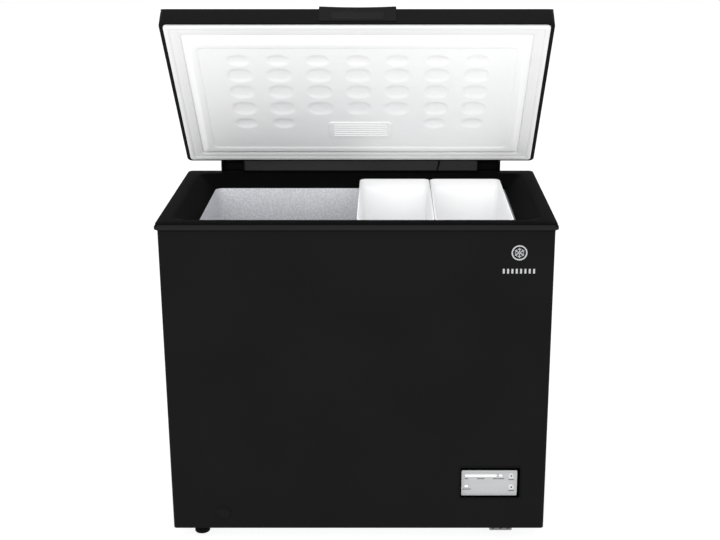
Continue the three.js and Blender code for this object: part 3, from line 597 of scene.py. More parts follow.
def top_frame():
    """Flat top, rounded lip, and a collar that slopes in to the liner."""
    low, high = span("top_frame")
    top = high.z
    lip = -14.6
    foot = low.z - top
    section = [  # inset, height from the top, corner radius
        (-1.9, lip, 13),
        (-2.6, lip + 0.7, 13),
        (-2.5, lip + 6.2, 13),
        (-1.9, lip + 7.2, 13),
        (-0.4, lip + 8.2, 12),
        (0, lip + 9.2, 12),
        (0.2, -2.0, 12),
        (0.8, -0.6, 12),
        (2.2, 0, 11),
        (31, 0, 24),
        (34.5, -0.35, 24),
        (37.5, -1.6, 24),
        (78.5, -22.1, 18.5),
        (80.9, -23.7, 18),
        (82, foot + 1.3, 18),
        (82, foot, 18),
        (79, foot, 20),
        (79, foot + 1.8, 20),
        (33, -3.2, 22),
        (3.2, -3.2, 9),
        (3.2, lip, 9),
        (1.4, lip - 0.05, 11),
        (0.2, lip, 12),
        (-1, lip + 0.1, 12),
    ]
    levels = [(low.x + d, high.x - d, low.y + d, high.y - d, r, top + h) for d, h, r in section]
    moulding = loft(levels, closed=True, segments=8)
    piece("top_frame_moulding", moulding, FRAME_BLACK, "cabinet", ["top_frame"])
    # A rubber seal in the seam under the lip, coloured near black as painted shade for the seam's shadow.
    low, high = span("outer_wrap")
    under = top + lip
    section = [(-1, under - 3), (-1, under - 0.2), (0.8, under - 0.2), (0.8, under - 3)]
    levels = [(low.x + d, high.x - d, low.y + d, high.y - d, 8, z) for d, z in section]
    piece("frame_seal_shadow_strip", loft(levels, closed=True), SEAM_SHADOW_BLACK, "cabinet")


def inner_liner():
    """Embossed tub with rounded corners and a raised floor on the right."""
    low, high = span("inner_liner")
    skin, corner, cove = 1.2, 18, 14
    step = Vector((90, low.y - 5, low.z - 5))
    step_top = 325

    def tub(grow, up):
        inward = skin - grow
        bottom = low + Vector((inward, inward, inward))
        body = rounded_slab(bottom, high - Vector((inward, inward, -up)), corner + grow, 10)
        floor_edges = [e for e in body.edges if max(v.co.z for v in e.verts) < low.z + 10]
        round_edges(body, floor_edges, cove, 6)
        hump = cuboid(step + Vector((grow, 0, 0)), (high.x + 20, high.y + 20, step_top - grow))
        return carve(body, hump)

    plug = span("drain_plug")
    centre = (plug[0] + plug[1]) / 2
    hole = moved(spun([(0, -20), (11.5, -20), (11.5, 20), (0, 20)]), (centre.x, centre.y, low.z))
    sheet = carve(tub(skin, 0), tub(0, 5), hole)
    piece("liner_sheet", sheet, STUCCO, "cabinet", ["inner_liner"], edge=0.4)


def screw(radius=4.2, height=2.6):
    """Hexagon head on a round flange, standing on z = 0."""
    flange = spun([(0, 0), (radius * 1.35, 0), (radius * 1.35, 0.6), (radius * 0.95, 1.0), (0, 1.0)], 20)
    head = bmesh.new()
    wide, narrow = radius, radius * 0.94
    bmesh.ops.create_cone(head, cap_ends=True, segments=6, radius1=wide, radius2=narrow, depth=height)
    moved(head, (0, 0, height / 2 + 0.4))
    return gather(flange, head)


def rear_screws():
    low, high = span("rear_panel")
    heads = []
    for x in (low.x + 8, high.x - 8):
        for i in range(6):
            heads.append((x, low.z + 40 + i * (high.z - low.z - 90) / 5))
    for i in range(1, 6):
        heads.append((low.x + i * (high.x - low.x) / 6, high.z - 9))
    made = [moved(screw(), REARWARD, (x, high.y, z)) for x, z in heads]
    piece("rear_panel_screws", gather(*made), ZINC, "cabinet")


def louvred(width, height, depth, blades, border=12, columns=1):
    """A bordered panel with slanted blades, standing on z = 0 with its face at y = 0."""
    across = width / columns
    slots = []
    bars = []
    pitch = (height - 2 * border) / blades
    for column in range(columns):
        x0, x1 = -width / 2 + across * column + border, -width / 2 + across * (column + 1) - border
        slots.append(cuboid((x0, -9, border), (x1, depth + 9, height - border)))
        for i in range(blades):
            blade = cuboid((x0 - 1, -0.8, -pitch * 0.45), (x1 + 1, 0.8, pitch * 0.45))
            tilt = Matrix.Rotation(math.radians(-38), 4, "X")
            bars.append(moved(blade, tilt, (0, depth / 2 + 1.5, border + pitch * (i + 0.5))))
    plate = rounded_slab((-width / 2, -height / 2, 0), (width / 2, height / 2, depth), 5)
    moved(plate, OUTWARD, (0, depth, height / 2))
    return gather(carve(plate, *slots), *bars)


def machine_covers():
    low, high = span("side_grille")
    grille = louvred(high.y - low.y, high.z - low.z, high.x - low.x, 12)
    turn = Matrix.Rotation(math.radians(90), 4, "Z")
    moved(grille, turn, (high.x, (low.y + high.y) / 2, low.z))
    piece("side_louvre_grille", grille, PLASTIC, "cabinet", ["side_grille"], edge=0.3)
    low, high = span("rear_machine_cover")
    cover = louvred(high.x - low.x, high.z - low.z, high.y - low.y, 11, 16, 2)
    gland = span("cord_gland")
    x, z = (gland[0].x + gland[1].x) / 2, (gland[0].z + gland[1].z) / 2
    moved(cover, Matrix.Rotation(math.pi, 4, "Z"), ((low.x + high.x) / 2, high.y, low.z))
    piece("rear_louvre_cover", cover, PLASTIC, "cabinet", ["rear_machine_cover"], edge=0.3)
    corners = [(sx, sz) for sx in (low.x + 7, high.x - 7) for sz in (low.z + 7, high.z - 7)]
    heads = [moved(screw(3.4, 2), REARWARD, (sx, high.y, sz)) for sx, sz in corners]
    piece("rear_cover_screws", gather(*heads), ZINC, "cabinet")
    flange = [(0, -1), (8, -1), (8, 2.6), (12, 2.6), (12, 5)]
    sleeve = [(10.5, 6), (9.6, 12), (6, 12.4), (5, 9), (0, 9)]
    piece("mains_inlet_gland", moved(spun(flange + sleeve), REARWARD, (x, gland[0].y, z)), PLASTIC,
          "cabinet", ["cord_gland"])


# ---- control recess ----
def controls():
    low, high = span("control_bezel")
    flange, wall = 4, 1.2
    x0, x1, z0, z1 = low.x + flange, high.x - flange - 2.5, low.z + flange + 2, high.z - flange
    floor = high.y - wall
    section = [  # growth from the recess, depth, corner radius
        (-1.4, floor, 2.2),
        (0, floor - 1.4, 3),
        (0, low.y + 1, 3),
        (0.3, low.y + 0.3, 3.2),
        (1, low.y, 3.6),
        (3.2, low.y, 5.4),
        (3.8, low.y + 0.3, 6),
        (4, high.y - 9.8, 6),
        (wall, high.y - 9.8, 4),
        (wall, high.y, 4),
    ]
    levels = [(x0 - g, x1 + g, z0 - g, z1 + g, r, -y) for g, y, r in section]
    piece("control_recess", moved(loft(levels), OUTWARD), RECESS_SHADED, "cabinet", ["control_bezel"])

    face_low, face_high = span("control_faceplate")
    bore = [(0, -40), (5.4, -40), (5.4, 40), (0, 40)]
    holes = [moved(spun(bore, 32), OUTWARD, button_place(name)) for name in BUTTONS]
    for name in LENSES:
        a, b = span(name)
        grow = Vector((0.3, 9, 0.3))
        holes.append(cuboid(a - grow, b + grow))
    left, front, bottom = face_low
    right, back, top = face_high
    plate = moved(rounded_slab((left, bottom, -back), (right, top, -front), 2.5), OUTWARD)
    groove = [
        (left + g, right - g, bottom + g, top - g, 2, deep - front)
        for g, deep in ((5.2, 3), (5.2, -0.35), (5.9, -0.35), (5.9, 3))
    ]
    plate = carve(plate, *holes, moved(loft(groove, closed=True), OUTWARD))
    piece("control_face", plate, SILVER, "cabinet", ["control_faceplate"], edge=0.25)

    for name in LENSES:
        a, b = span(name)
        height = b.z - a.z
        lens = loft(
            [
                (a.x, b.x, a.z, b.z, height * 0.48, -b.y),
                (a.x, b.x, a.z, b.z, height * 0.48, -a.y - 0.5),
                (a.x + 0.3, b.x - 0.3, a.z + 0.3, b.z - 0.3, height * 0.42, -a.y),
            ]
        )
        piece(name + "_window", moved(lens, OUTWARD), LENS, "cabinet", [name])
    for name in BUTTONS:
        push_button(name, front)
    panel_marks(front)


LENSES = ("light_bar_lens", "fast_freeze_lens", "power_lens")
BUTTONS = ("temperature_button", "fast_freeze_button")


def button_place(name):
    low, high = span(name)
    return ((low.x + high.x) / 2, 0, (low.z + high.z) / 2)


def push_button(name, face):
    """A dished cap in a thin raised collar."""
    low, high = span(name)
    radius = (high.x - low.x) / 2
    x, _, z = button_place(name)
    cap = [(0, 1.2), (2.2, 1.25), (3.6, 1.6)]
    cap += [(radius - 0.7, 1.6), (radius - 0.2, 1.2), (radius, 0.6), (radius, -5.9), (0, -5.9)]
    piece(name + "_cap", moved(spun(cap), OUTWARD, (x, face, z)), BUTTON, name, [name])
    collar = [(5.5, -1), (6.3, -1), (6.3, 0.5), (6.0, 0.8), (5.7, 0.8), (5.5, 0.5), (5.5, -1)]
    piece(name + "_collar", moved(spun(collar), OUTWARD, (x, face, z)), LENS, "cabinet")
    dot = spun([(0, 1.15), (2.1, 1.15), (2.1, 1.4), (0, 1.4)], 24)
    piece(name + "_dot", moved(dot, OUTWARD, (x, face, z)), INK, name)


def panel_marks(face):
    """Plain printed ticks under each light and button."""
    bar, fast, power = (span(name) for name in LENSES)
    ticks = []

    def row(centre, top, width, count):
        pitch = width / count
        for i in range(count):
            x = centre - width / 2 + pitch * (i + 0.5)
            half = pitch * 0.4
            ticks.append(cuboid((x - half, face - 0.12, top - 2.2), (x + half, face + 0.1, top)))

    below = bar[0].z - 4.2
    row(bar[0].x + 4, below, 8, 3)
    row((bar[0].x + bar[1].x) / 2, below, 18, 7)
    row(bar[1].x - 4, below, 11, 4)
    row((fast[0].x + fast[1].x) / 2 + 1.5, below, 15, 6)
    row((power[0].x + power[1].x) / 2 + 1, power[0].z - 4, 20, 7)
    for name in BUTTONS:
        low, high = span(name)
        row((low.x + high.x) / 2, low.z - 4, 13, 5)
    piece("printed_ticks", gather(*ticks), INK, "cabinet")


# ---- small parts of the cabinet ----
def drains():
    low, high = span("drain_cap")
    centre = (low + high) / 2
    radius = (high.x - low.x) / 2
    face = -low.y
    cap = [
        (0, face - 0.5), (5, face - 0.5), (5.6, face), (12.6, face), (13, face - 1.7), (14.2, face - 1.7),
        (14.6, face), (radius - 1, face), (radius, face - 0.8), (radius, face - 2), (12, face - 2),
        (12, face - 8), (7.5, face - 9), (7.5, face - 20), (0, face - 20),
    ]
    grip = cuboid((centre.x - 1.6, low.y - 0.9, centre.z - 9), (centre.x + 1.6, low.y + 1, centre.z + 9))
    round_edges(grip, grip.edges, 0.6, 3)
    body = moved(spun(cap, 64), OUTWARD, (centre.x, 0, centre.z))
    piece("drain_cap_moulding", gather(body, grip), PLASTIC, "drain_cap", ["drain_cap"])
    low, high = span("drain_plug")
    centre = (low + high) / 2
    plug = [
        (0, 0), (6.6, 0), (7.4, 1), (7.4, 8.2), (15, 8.2), (15, 9.2), (14, 11.4), (12, 12), (5, 12),
        (4, 13), (4, 19), (3, 20), (0, 20),
    ]
    plug = moved(spun(plug), (centre.x, centre.y, low.z))
    piece("drain_plug_moulding", plug, WHITE, "drain_plug", ["drain_plug"])


def feet():
    for end in ("front", "rear"):
        low, high = span(f"foot_{end}_left")
        centre = (low + high) / 2
        radius = (high.x - low.x) / 2
        profile = [
            (0, 0.6), (9, 0.6), (10, 0), (radius - 2, 0), (radius - 0.6, 0.5), (radius, 1.8), (radius, 8.6),
            (radius - 0.8, 9.8), (14.6, 11.2), (14, 12.5), (14, high.z), (0, high.z),
        ]
        foot = moved(spun(profile, 64), (centre.x, centre.y, 0))
        piece(f"round_foot_{end}", foot, RUBBER, "cabinet", [f"foot_{end}_left"])
        low, high = span(f"foot_{end}_right")
        slope = 5
        outline = [(low.x + slope, 0), (high.x - slope, 0), (high.x, high.z), (low.x, high.z)]
        block = prism(outline, low.y, high.y, "Y")
        across = (low.x + 14, (low.x + high.x) / 2, high.x - 14)
        ribs = [cuboid((x - 3, low.y - 5, 4), (x + 3, low.y + 4, high.z - 4)) for x in across]
        block = carve(block, *ribs)
        piece(f"wide_foot_{end}", block, FOOT_GREY, "cabinet", [f"foot_{end}_right"], edge=1.0)


def wiring():
    low, high = span("rear_wiring_strip")
    outline = [
        (low.y, low.z), (high.y, low.z), (high.y, high.z - 1), (high.y - 1, high.z),
        (high.y - 3, high.z), (high.y - 3, low.z + 3), (low.y, low.z + 3),
    ]
    strip = prism(outline, low.x, high.x)
    piece("wiring_cover_strip", strip, STRIP_GREY, "cabinet", ["rear_wiring_strip"], edge=0.5)
    heads = [moved(screw(3, 1.8), REARWARD, (x, high.y, low.z + 22)) for x in (-280, -140, 0, 140, 280)]
    piece("wiring_strip_screws", gather(*heads), ZINC, "cabinet")

    low, high = lid_span("lead_grommet")
    centre = (low + high) / 2
    profile = [(0, -0.2), (5, -0.2), (5, 0.8), (3.6, 1.6), (3, 2.6), (0, 2.6)]
    grommet = moved(spun(profile, 32), REARWARD, (centre.x, low.y, centre.z))
    piece("lamp_lead_grommet", grommet, RUBBER, "lid", ["lead_grommet"], on_lid=True)

    low, high = span("lamp_lead")
    run = [
        OPENED @ Vector((centre.x, 510.9, centre.z)),
        OPENED @ Vector((centre.x, 513.6, centre.z)),
        Vector((high.x - 3, 513.6, high.z - 12)),
        Vector((high.x - 7, 513.4, high.z - 26)),
        Vector((low.x + 1.9, 513.3, high.z - 40)),
        Vector((low.x + 1.9, 513.3, low.z + 0.2)),
    ]
    lead = tube(run, 1.9)
    lead.name = lead.data.name = "lamp_lead_cable"
    lead.data.materials.append(RUBBER)
    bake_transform(lead)
    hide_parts("lamp_lead")


def tube(points, radius):
    """A smooth round tube through points given in millimetres, as a mesh in place."""
    line = bpy.data.curves.new("tube", "CURVE")
    line.dimensions = "3D"
    line.bevel_depth, line.bevel_resolution, line.resolution_u = radius * MM, 4, 10
    line.use_fill_caps = True
    spline = line.splines.new("BEZIER")
    spline.bezier_points.add(len(points) - 1)
    for knot, place in zip(spline.bezier_points, points):
        knot.co = TO_ROW @ place
        knot.handle_left_type = knot.handle_right_type = "AUTO"
    curve = bpy.data.objects.new("tube", line)
    bpy.context.collection.objects.link(curve)
    mesh = bpy.data.meshes.new_from_object(curve.evaluated_get(bpy.context.evaluated_depsgraph_get()))
    bpy.data.objects.remove(curve)
    bm = bmesh.new()
    bm.from_mesh(mesh)
    bmesh.ops.remove_doubles(bm, verts=bm.verts, dist=1e-5)
    bm.to_mesh(mesh)
    bm.free()
    mesh.shade_smooth()
    mesh.materials.clear()
    made = bpy.data.objects.new("tube", mesh)
    bpy.context.collection.objects.link(made)
    return made


def emblem():
    """A plain ring with a six-armed snow crystal, over a row of eight plain bars."""
    low, high = span("front_badge")
    centre = (low + high) / 2
    centre.z -= 2.4
    outer = (high.x - low.x) * 0.462
    back, face = -high.y, -low.y
    inner = outer - 3.2
    hoop = [
        (inner, back), (outer, back), (outer, face - 0.4), (outer - 0.5, face), (inner + 0.5, face),
        (inner, face - 0.4), (inner, back),
    ]
    arms = []
    for i in range(6):
        turn = Matrix.Rotation(math.radians(60 * i), 4, "Z")
        arms.append(moved(cuboid((-1, 0, back), (1, outer - 6, face - 0.2)), turn))
        for lean in (-1, 1):
            twig = cuboid((-0.8, 0, back), (0.8, 5, face - 0.2))
            moved(twig, Matrix.Rotation(math.radians(50 * lean), 4, "Z"), (0, outer - 11.5, 0), turn)
            arms.append(twig)
    bars = [cuboid((i * 9.8 - 2.2, -49, back), (i * 9.8 + 2.2, -38, face - 0.3)) for i in range(-4, 4)]
    arms += [moved(bar, (4.9, 0, 0)) for bar in bars]
    mark = moved(gather(spun(hoop, 72), *arms), OUTWARD, (centre.x, 0, centre.z))
    piece("snow_emblem", mark, SILVER, "cabinet", ["front_badge"], edge=0.15)


# ---- hinges ----
def hinge(side):
    low, high = span(f"hinge_{side}_housing")
    cheek = 3
    knuckle = 13
    wall = AXIS.y - 18.2  # the cheeks' front edge, behind the frame
    outline = [(wall, low.z + 3), (wall + 3, low.z), (high.y - 6, low.z), (high.y, low.z + 8)]
    outline += [(high.y, AXIS.z - 15), *arc((AXIS.y, AXIS.z), knuckle, 0, 180, 16), (wall, AXIS.z - 6)]
    inner = (low.x + cheek, high.x - cheek)
    shell = carve(
        prism(outline, low.x, high.x),
        cuboid((inner[0], wall + cheek, low.z + cheek), (inner[1], high.y - cheek, high.z + 9)),
        cuboid((inner[0], wall - 2, 794), (inner[1], wall + cheek + 2, high.z + 9)),
        cuboid((low.x + 12, high.y - 1, low.z + 24), (high.x - 12, high.y + 5, AXIS.z - 34)),
    )
    pad = cuboid((low.x, low.y, low.z + 10), (high.x, wall + 1, low.z + 144))
    piece(f"hinge_{side}_box", gather(shell, pad), HINGE_BLACK, "cabinet", [f"hinge_{side}_housing"],
          edge=0.6)
    middle = (low.x + high.x) / 2
    heads = [moved(screw(4, 2.4), REARWARD, (middle, high.y - 1, low.z + up)) for up in (45, 105)]
    piece(f"hinge_{side}_screws", gather(*heads), ZINC, "cabinet")

    low, high = span(f"hinge_{side}_pin")
    length = high.x - low.x
    pin = spun([(0, 0), (3.7, 0), (4.5, 0.8), (4.5, length - 0.8), (3.7, length), (0, length)], 40)
    moved(pin, Matrix.Rotation(math.radians(90), 4, "Y"), (low.x, AXIS.y, AXIS.z))
    piece(f"hinge_{side}_pin_rod", pin, ZINC, "cabinet", [f"hinge_{side}_pin"])

    low, high = span(f"hinge_{side}_spring")
    centre = (low + high) / 2
    wire = 1.6
    coil = (high.x - low.x) / 2 - wire
    spring = coil_spring(centre, coil, wire, low.z + wire, high.z - wire, 9)
    piece(f"hinge_{side}_coil", spring, ZINC, "cabinet", [f"hinge_{side}_spring"])

    low, high = lid_span(f"hinge_{side}_arm")
    leaf = rounded_slab((low.x, -high.z, 0), (high.x, -low.z, 2.2), 4)
    moved(leaf, REARWARD, (0, low.y, 0))
    web = cuboid((low.x + 1, low.y + 1, AXIS.z - 6), (high.x - 1, AXIS.y, AXIS.z + 6))
    length = high.x - low.x
    barrel = spun([(0, 0), (8.2, 0), (9, 0.8), (9, length - 0.8), (8.2, length), (0, length)], 40)
    moved(barrel, Matrix.Rotation(math.radians(90), 4, "Y"), (low.x, AXIS.y, AXIS.z))
    across = (low.x + 10, high.x - 10)
    heads = [moved(screw(3.4, 2), REARWARD, (x, low.y + 2.2, high.z - 7)) for x in across]
    piece(f"hinge_{side}_leaf", gather(leaf, web, barrel), HINGE_BLACK, "lid", [f"hinge_{side}_arm"],
          on_lid=True, edge=0.3)
    piece(f"hinge_{side}_leaf_screws", gather(*heads), ZINC, "lid", on_lid=True)


def coil_spring(centre, radius, wire, bottom, top, turns):
    """A round wire carried up a screw."""
    bm = bmesh.new()
    section = bmesh.ops.create_circle(bm, segments=10, radius=wire, cap_ends=False)["verts"]
    moved(bm, Matrix.Rotation(math.radians(90), 4, "X"), (radius, 0, 0))
    steps = 24 * turns
    bmesh.ops.spin(
        bm,
        geom=section + list(bm.edges),
        cent=(0, 0, 0),
        axis=(0, 0, 1),
        dvec=(0, 0, (top - bottom) / steps),
        angle=2 * math.pi * turns,
        steps=steps,
    )
    for rim in (min, max):
        height = rim(v.co.z for v in bm.verts)
        ends = [e for e in bm.edges if e.is_boundary and abs(e.verts[0].co.z - height) < 2.2 * wire]
        bmesh.ops.contextual_create(bm, geom=ends)
    bmesh.ops.recalc_face_normals(bm, faces=bm.faces)
    return moved(bm, (centre.x, centre.y, bottom))


# ---- baskets ----
def basket(side):
    """A deep tub with rolled edges. Its front and rear flanges slope onto the collar."""
    low, high = span(f"basket_{side}")
    section = [  # side inset, end inset, corner radius, height
        (26, 54, 8, low.z),
        (15, 43, 12, low.z + 0.6),
        (11, 38.5, 14, low.z + 4),
        (9.4, 36.4, 15, low.z + 9),
        (2.6, 25.4, 15, high.z - 19),
        (2, 23.6, 15, high.z - 15.6),
        (0.8, 1.2, 15, high.z - 4.2),
        (0.2, 0.3, 15, high.z - 3.2),
        (0, 0, 15, high.z - 1.2),
        (0.5, 0.5, 15, high.z - 0.3),
        (1.4, 1.4, 14.5, high.z),
        (2.6, 2.6, 13.5, high.z - 0.5),
        (4.4, 24.6, 13, high.z - 12.6),
        (5, 27, 13, high.z - 15.4),
        (5.4, 28.2, 13, high.z - 19),
        (12, 39.2, 12, low.z + 11),
        (14.5, 42, 11, low.z + 5),
        (19, 47, 8, low.z + 2.6),
        (28, 56, 6, low.z + 2.3),
    ]
    levels = [(low.x + s, high.x - s, low.y + e, high.y - e, r, z) for s, e, r, z in section]
    piece(f"basket_{side}_tub", loft(levels, segments=8), BASKET, f"basket_{side}", [f"basket_{side}"],
          sharp=40)


# ---- lid, drawn closed ----
SHELL = lid_span("lid_shell")
LINER = lid_span("lid_liner")
LAMP = lid_span("lamp_cover")


def inset(side, front, rear, radius, z):
    """A level outline set in from the lid's edges."""
    low, high = SHELL
    return (low.x + side, high.x - side, low.y + front, high.y - rear, radius, z)


def lid_shell():
    low, high = SHELL
    bottom, top = low.z, high.z
    section = [  # inset, height, radius
        (11, top, 5),
        (6, top - 0.1, 8),
        (3.2, top - 0.9, 10),
        (1.4, top - 2.6, 11),
        (0.4, top - 5, 12),
        (0, top - 8, 12),
        (0, bottom + 6.4, 12),
        (0, bottom + 5.6, 12),
        (0.5, bottom + 5.0, 12),
        (0.5, bottom + 4.4, 12),
        (0, bottom + 3.8, 12),
        (0, bottom + 1, 12),
        (0.3, bottom + 0.3, 12),
        (1, bottom, 11.5),
    ]
    levels = [inset(d, d, d, r, z) for d, z, r in section]
    levels += [inset(9.3, 6.7, 8.7, 9, bottom), inset(9.3, 6.7, 8.7, 9, bottom + 2.5)]
    levels += [inset(2.5, 2.5, 2.5, 9, z) for z in (bottom + 2.5, top - 2.5)]
    shell = loft(levels, segments=8)
    piece("lid_outer_shell", shell, SHEET, "lid", ["lid_shell"], on_lid=True)


def lid_rails():
    for side in ("left", "right"):
        low, high = lid_span(f"lid_rail_{side}")
        rail = loft(
            [
                (low.x, high.x, low.y, high.y, 3, low.z - 0.3),
                (low.x, high.x, low.y, high.y, 3, high.z - 1.6),
                (low.x + 0.5, high.x - 0.5, low.y + 0.5, high.y - 0.5, 3, high.z - 0.5),
                (low.x + 1.6, high.x - 1.6, low.y + 1.6, high.y - 1.6, 2.5, high.z),
            ]
        )
        piece(f"lid_rail_{side}_trim", rail, PLASTIC, "lid", [f"lid_rail_{side}"],
              on_lid=True)


PLUG = {"side": 47, "front": 41, "rear": 37, "bevel": 17, "rim": 15}
RECESS = 1.6  # of the panel inside the rim


def plug(extra, radius, z):
    return inset(PLUG["side"] + extra, PLUG["front"] + extra, PLUG["rear"] + extra, radius, z)


def dent_depth(x, y):
    """Depth of the panel's dished ovals at a place, in millimetres."""
    back = SHELL[1].y - y
    pitch, columns = 93.9, 7
    for row, centre in enumerate((396, 344, 284.5, 223, 166)):
        if abs(back - centre) > 34:
            continue
        column = round(x / pitch)
        if abs(column) > columns // 2 or (row == 4 and abs(column) < 2):
            continue
        half = (27, 17) if row in (0, 4) else (31, 23)
        u, v = (x - column * pitch) / half[0], (back - centre) / half[1]
        distance = (abs(u) ** 2.6 + abs(v) ** 2.2) ** 0.42
        if distance < 1:
            lip = min(1.0, (1 - distance) / 0.22)
            return (lip * lip * (3 - 2 * lip)) * (1.9 + 1.6 * (1 - distance))
    return 0.0


def lid_liner():
    bottom = SHELL[0].z
    deep = LINER[0].z
    bevel, rim = PLUG["bevel"], PLUG["rim"]
    bm = bmesh.new()
    outline = [
        inset(9.6, 7, 9, 8.5, bottom + 2),
        inset(9.6, 7, 9, 8.5, bottom + 0.2),
        inset(12, 9.4, 12, 8, bottom),
        plug(-1.2, 7, bottom + 0.05),
        plug(-0.4, 7, bottom - 0.1),
        plug(0.6, 7, bottom - 1.2),
        plug(bevel - 3, 11, deep + 1.6),
        plug(bevel - 1.4, 11.5, deep + 0.7),
        plug(bevel + 0.2, 12, deep + 0.2),
        plug(bevel + 2, 12, deep),
        plug(bevel + rim - 1.6, 13, deep + 0.05),
        plug(bevel + rim - 0.6, 13, deep + 0.3),
        plug(bevel + rim + 0.6, 13, deep + 1.2),
        plug(bevel + rim + 1.8, 12, deep + 1.5),
        plug(bevel + rim + 4, 11, deep + RECESS),
    ]
    rings = [ring(bm, *level, 8) for level in outline]
    for a, b in zip(rings, rings[1:]):
        bmesh.ops.bridge_loops(bm, edges=a + b)
    x0, x1, y0, y1, _, z = plug(bevel + rim + 12, 0, deep + RECESS + STAGGER)
    skirt = set(bm.edges)
    spacing = 4.2
    verts = bmesh.ops.create_grid(
        bm, x_segments=round((x1 - x0) / spacing), y_segments=round((y1 - y0) / spacing), size=0.5
    )["verts"]
    bmesh.ops.scale(bm, vec=(x1 - x0, y1 - y0, 1), verts=verts)
    bmesh.ops.translate(bm, vec=((x0 + x1) / 2, (y0 + y1) / 2, z), verts=verts)
    border = [e for e in bm.edges if e not in skirt and e.is_boundary]
    for vert in verts:
        vert.co.z += dent_depth(vert.co.x, vert.co.y)
    bmesh.ops.bridge_loops(bm, edges=rings[-1] + border)
    bmesh.ops.recalc_face_normals(bm, faces=bm.faces)
    if sum(f.normal.z for f in bm.faces) > 0:
        bmesh.ops.reverse_faces(bm, faces=bm.faces)
    bmesh.ops.solidify(bm, geom=bm.faces[:], thickness=1.2)
    piece("lid_inner_liner", bm, LID_WHITE, "lid", ["lid_liner"], on_lid=True, sharp=50)


def lid_foam():
    """Fills the lid, clear of the dished ovals."""
    low, high = lid_span("lid_foam")
    deep = LINER[0].z
    levels = [
        plug(PLUG["bevel"] + 4, 12, deep + 8.2),
        plug(PLUG["bevel"], 14, deep + 8.3),
        plug(4, 10, SHELL[0].z + 2.8),
        (low.x + 10, high.x - 10, low.y + 8, high.y - 8, 8, SHELL[0].z + 3.2),
        (low.x + 10, high.x - 10, low.y + 8, high.y - 8, 8, SHELL[0].z + 6),
        (low.x, high.x, low.y, high.y, 8, SHELL[0].z + 6.5),
        (low.x, high.x, low.y, high.y, 8, high.z),
    ]
    piece("lid_foam_core", loft(levels), FOAM, "lid", ["lid_foam"], on_lid=True)


def lid_gasket():
    low, high = lid_span("lid_gasket")
    top = high.z
    section = [  # inset from the gasket's outer edge, height below its back, radius
        (0.5, 0, 8),
        (0.2, 2.4, 8),
        (0, 3.4, 8),
        (0.8, 4.6, 7.5),
        (3, 5.2, 7),
        (8, 5.25, 6),
        (10.8, 4.9, 6),
        (12.0, 4.2, 6),
        (12.6, 3.5, 6),
        (13.3, 3.3, 6),
        (14.2, 3.5, 6),
        (16, 3.55, 6),
        (17, 3.5, 6),
        (30.0, 2.7, 6),
        (32.6, 2.0, 6),
        (33.6, 0.9, 6),
        (33.6, -0.05, 6),
    ]
    reach = plug(-1.5, 6, 0)
    wide, ahead, behind = reach[0] - low.x, reach[2] - low.y, high.y - reach[3]
    last = section[-1][0]
    levels = []
    for d, h, r in section:
        far = max(0.0, (d - 17) / (last - 17))
        side, front, rear = (d + far * (edge - last) for edge in (wide, ahead, behind))
        levels.append((low.x + side, high.x - side, low.y + front, high.y - rear, r, top - h))
    piece("lid_seal", loft(levels, closed=True, segments=8), GASKET, "lid", ["lid_gasket"],
          on_lid=True, sharp=60)


def lamp():
    low, high = LAMP
    cover = loft(
        [
            (low.x, high.x, low.y, high.y, 9, high.z),
            (low.x, high.x, low.y, high.y, 9, low.z + 1.6),
            (low.x + 0.6, high.x - 0.6, low.y + 0.6, high.y - 0.6, 9, low.z + 0.9),
            (low.x + 2, high.x - 2, low.y + 2, high.y - 2, 8, low.z + 0.6),
            (low.x + 6, high.x - 6, low.y + 5, high.y - 5, 6, low.z + 0.6),
        ],
        segments=8,
    )
    ribs = []
    count, pitch = 6, 8.2
    middle = (low.y + high.y) / 2
    for i in range(count):
        y = middle + (i - (count - 1) / 2) * pitch
        rib = cuboid((low.x + 13, y - 2.3, low.z - 0.9), (high.x - 13, y + 2.3, low.z + 1.5))
        lower = [e for e in rib.edges if max(v.co.z for v in e.verts) < low.z]
        round_edges(rib, lower, 1.5, 4)
        ribs.append(rib)
    lens = gather(cover, *ribs)
    piece("lamp_lens_cover", lens, LID_WHITE, "lid", ["lamp_cover"], on_lid=True)


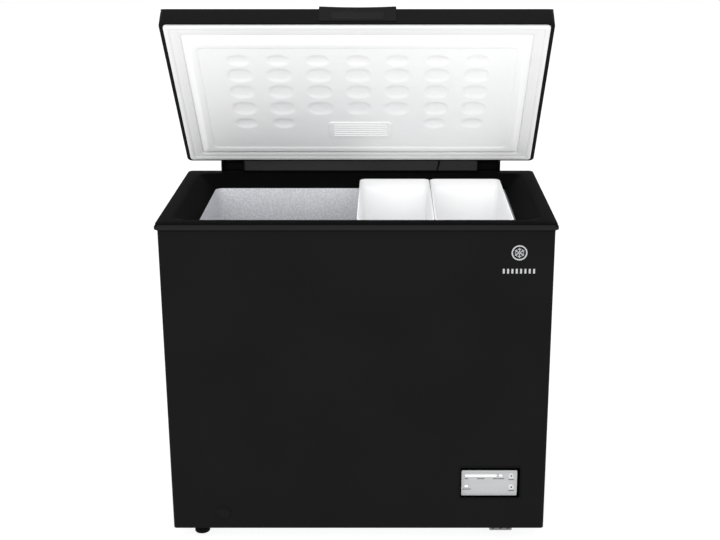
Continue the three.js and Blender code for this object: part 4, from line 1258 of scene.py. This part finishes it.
def lid_handle():
    """A grip on the front edge: raised ends, a dipped top and a scooped face."""
    low, high = lid_span("lid_handle")
    half = high.x
    shell_top = SHELL[1].z
    sag = 2.6
    crest = high.z - 3
    dip = half - 7
    top = [(dip * (1 - i / 12), crest - sag * (1 - (1 - i / 12) ** 2)) for i in range(25)]
    outline = [(-half, low.z), (half, low.z), (half, crest), *top, (-half, crest)]
    nose, tail = low.y + 2.4, high.y
    block = prism(outline, nose, tail, "Y")
    under = cuboid((-half - 2, SHELL[0].y - 0.3, low.z - 2), (half + 2, tail + 2, shell_top + 0.3))
    deep, rise, corner = 2.3, 27, 12  # finger pocket: deepest along its foot, running out at its top
    lean = Matrix.Rotation(math.atan2(deep, rise), 4, "X")

    def scoop(gap, front, back):
        outline = [(gap - 60, gap - rise), (60 - gap, gap - rise)]
        for x, start in ((52, 0), (-52, 90)):
            outline += arc((x, -corner), corner - gap, start, start + 90, 8)
        return moved(prism(outline, front, back, "Y"), lean, (0, nose - 0.1, low.z + 3 + rise))

    pocket = scoop(0, -9, 0)
    plate = cuboid((4 - half, SHELL[0].y + 3, shell_top - 1), (half - 4, tail, shell_top + 1.2))
    grip = moved(gather(carve(block, under, pocket), plate), (1.5, 0, 0))
    # The pad in the pocket is a lighter black: painted light, for the light the scoop's face catches.
    pad = moved(scoop(2.6, -0.5, 0.1), (1.5, 0, 0))
    piece("lid_grip_pad", pad, GRIP_PAD_PAINTED_LIGHT, "lid", on_lid=True, edge=0.2)
    piece("lid_grip", grip, PLASTIC, "lid", ["lid_handle"], on_lid=True, edge=1.0)


# ---- CAD nodes that keep their own shape ----
FINISHES = {
    ZINC: ("rear_panel", "bottom_pan", "compressor_tray"),
    COPPER: (
        "evaporator_tube", "condenser_tube", "suction_pipe", "discharge_pipe", "filter_drier",
        "capillary_tube",
    ),
    FOAM: ("foam_insulation",),
    WHITE: ("drain_hose",),
    BOARD: ("control_board", "lamp_board"),
    SHELL_BLACK: ("compressor",),
    RUBBER: tuple(f"compressor_grommet_{i}" for i in range(1, 5)),
    PLASTIC: ("compressor_terminal_cover",),
}


def floor():
    bm = bmesh.new()
    bmesh.ops.create_grid(bm, x_segments=1, y_segments=1, size=12)
    mesh = bpy.data.meshes.new("floor")
    bm.to_mesh(mesh)
    bm.free()
    mesh.materials.append(floor_paint())
    ground = bpy.data.objects.new("floor", mesh)
    bpy.context.collection.objects.link(ground)


camera()
studio()
floor()
for material, nodes in FINISHES.items():
    for node in nodes:
        finish_node(node, material)
outer_wrap()
top_frame()
inner_liner()
rear_screws()
machine_covers()
controls()
drains()
feet()
wiring()
emblem()
for side in ("left", "right"):
    hinge(side)
    basket(side)
lid_shell()
lid_rails()
lid_liner()
lid_foam()
lid_gasket()
lamp()
lid_handle()
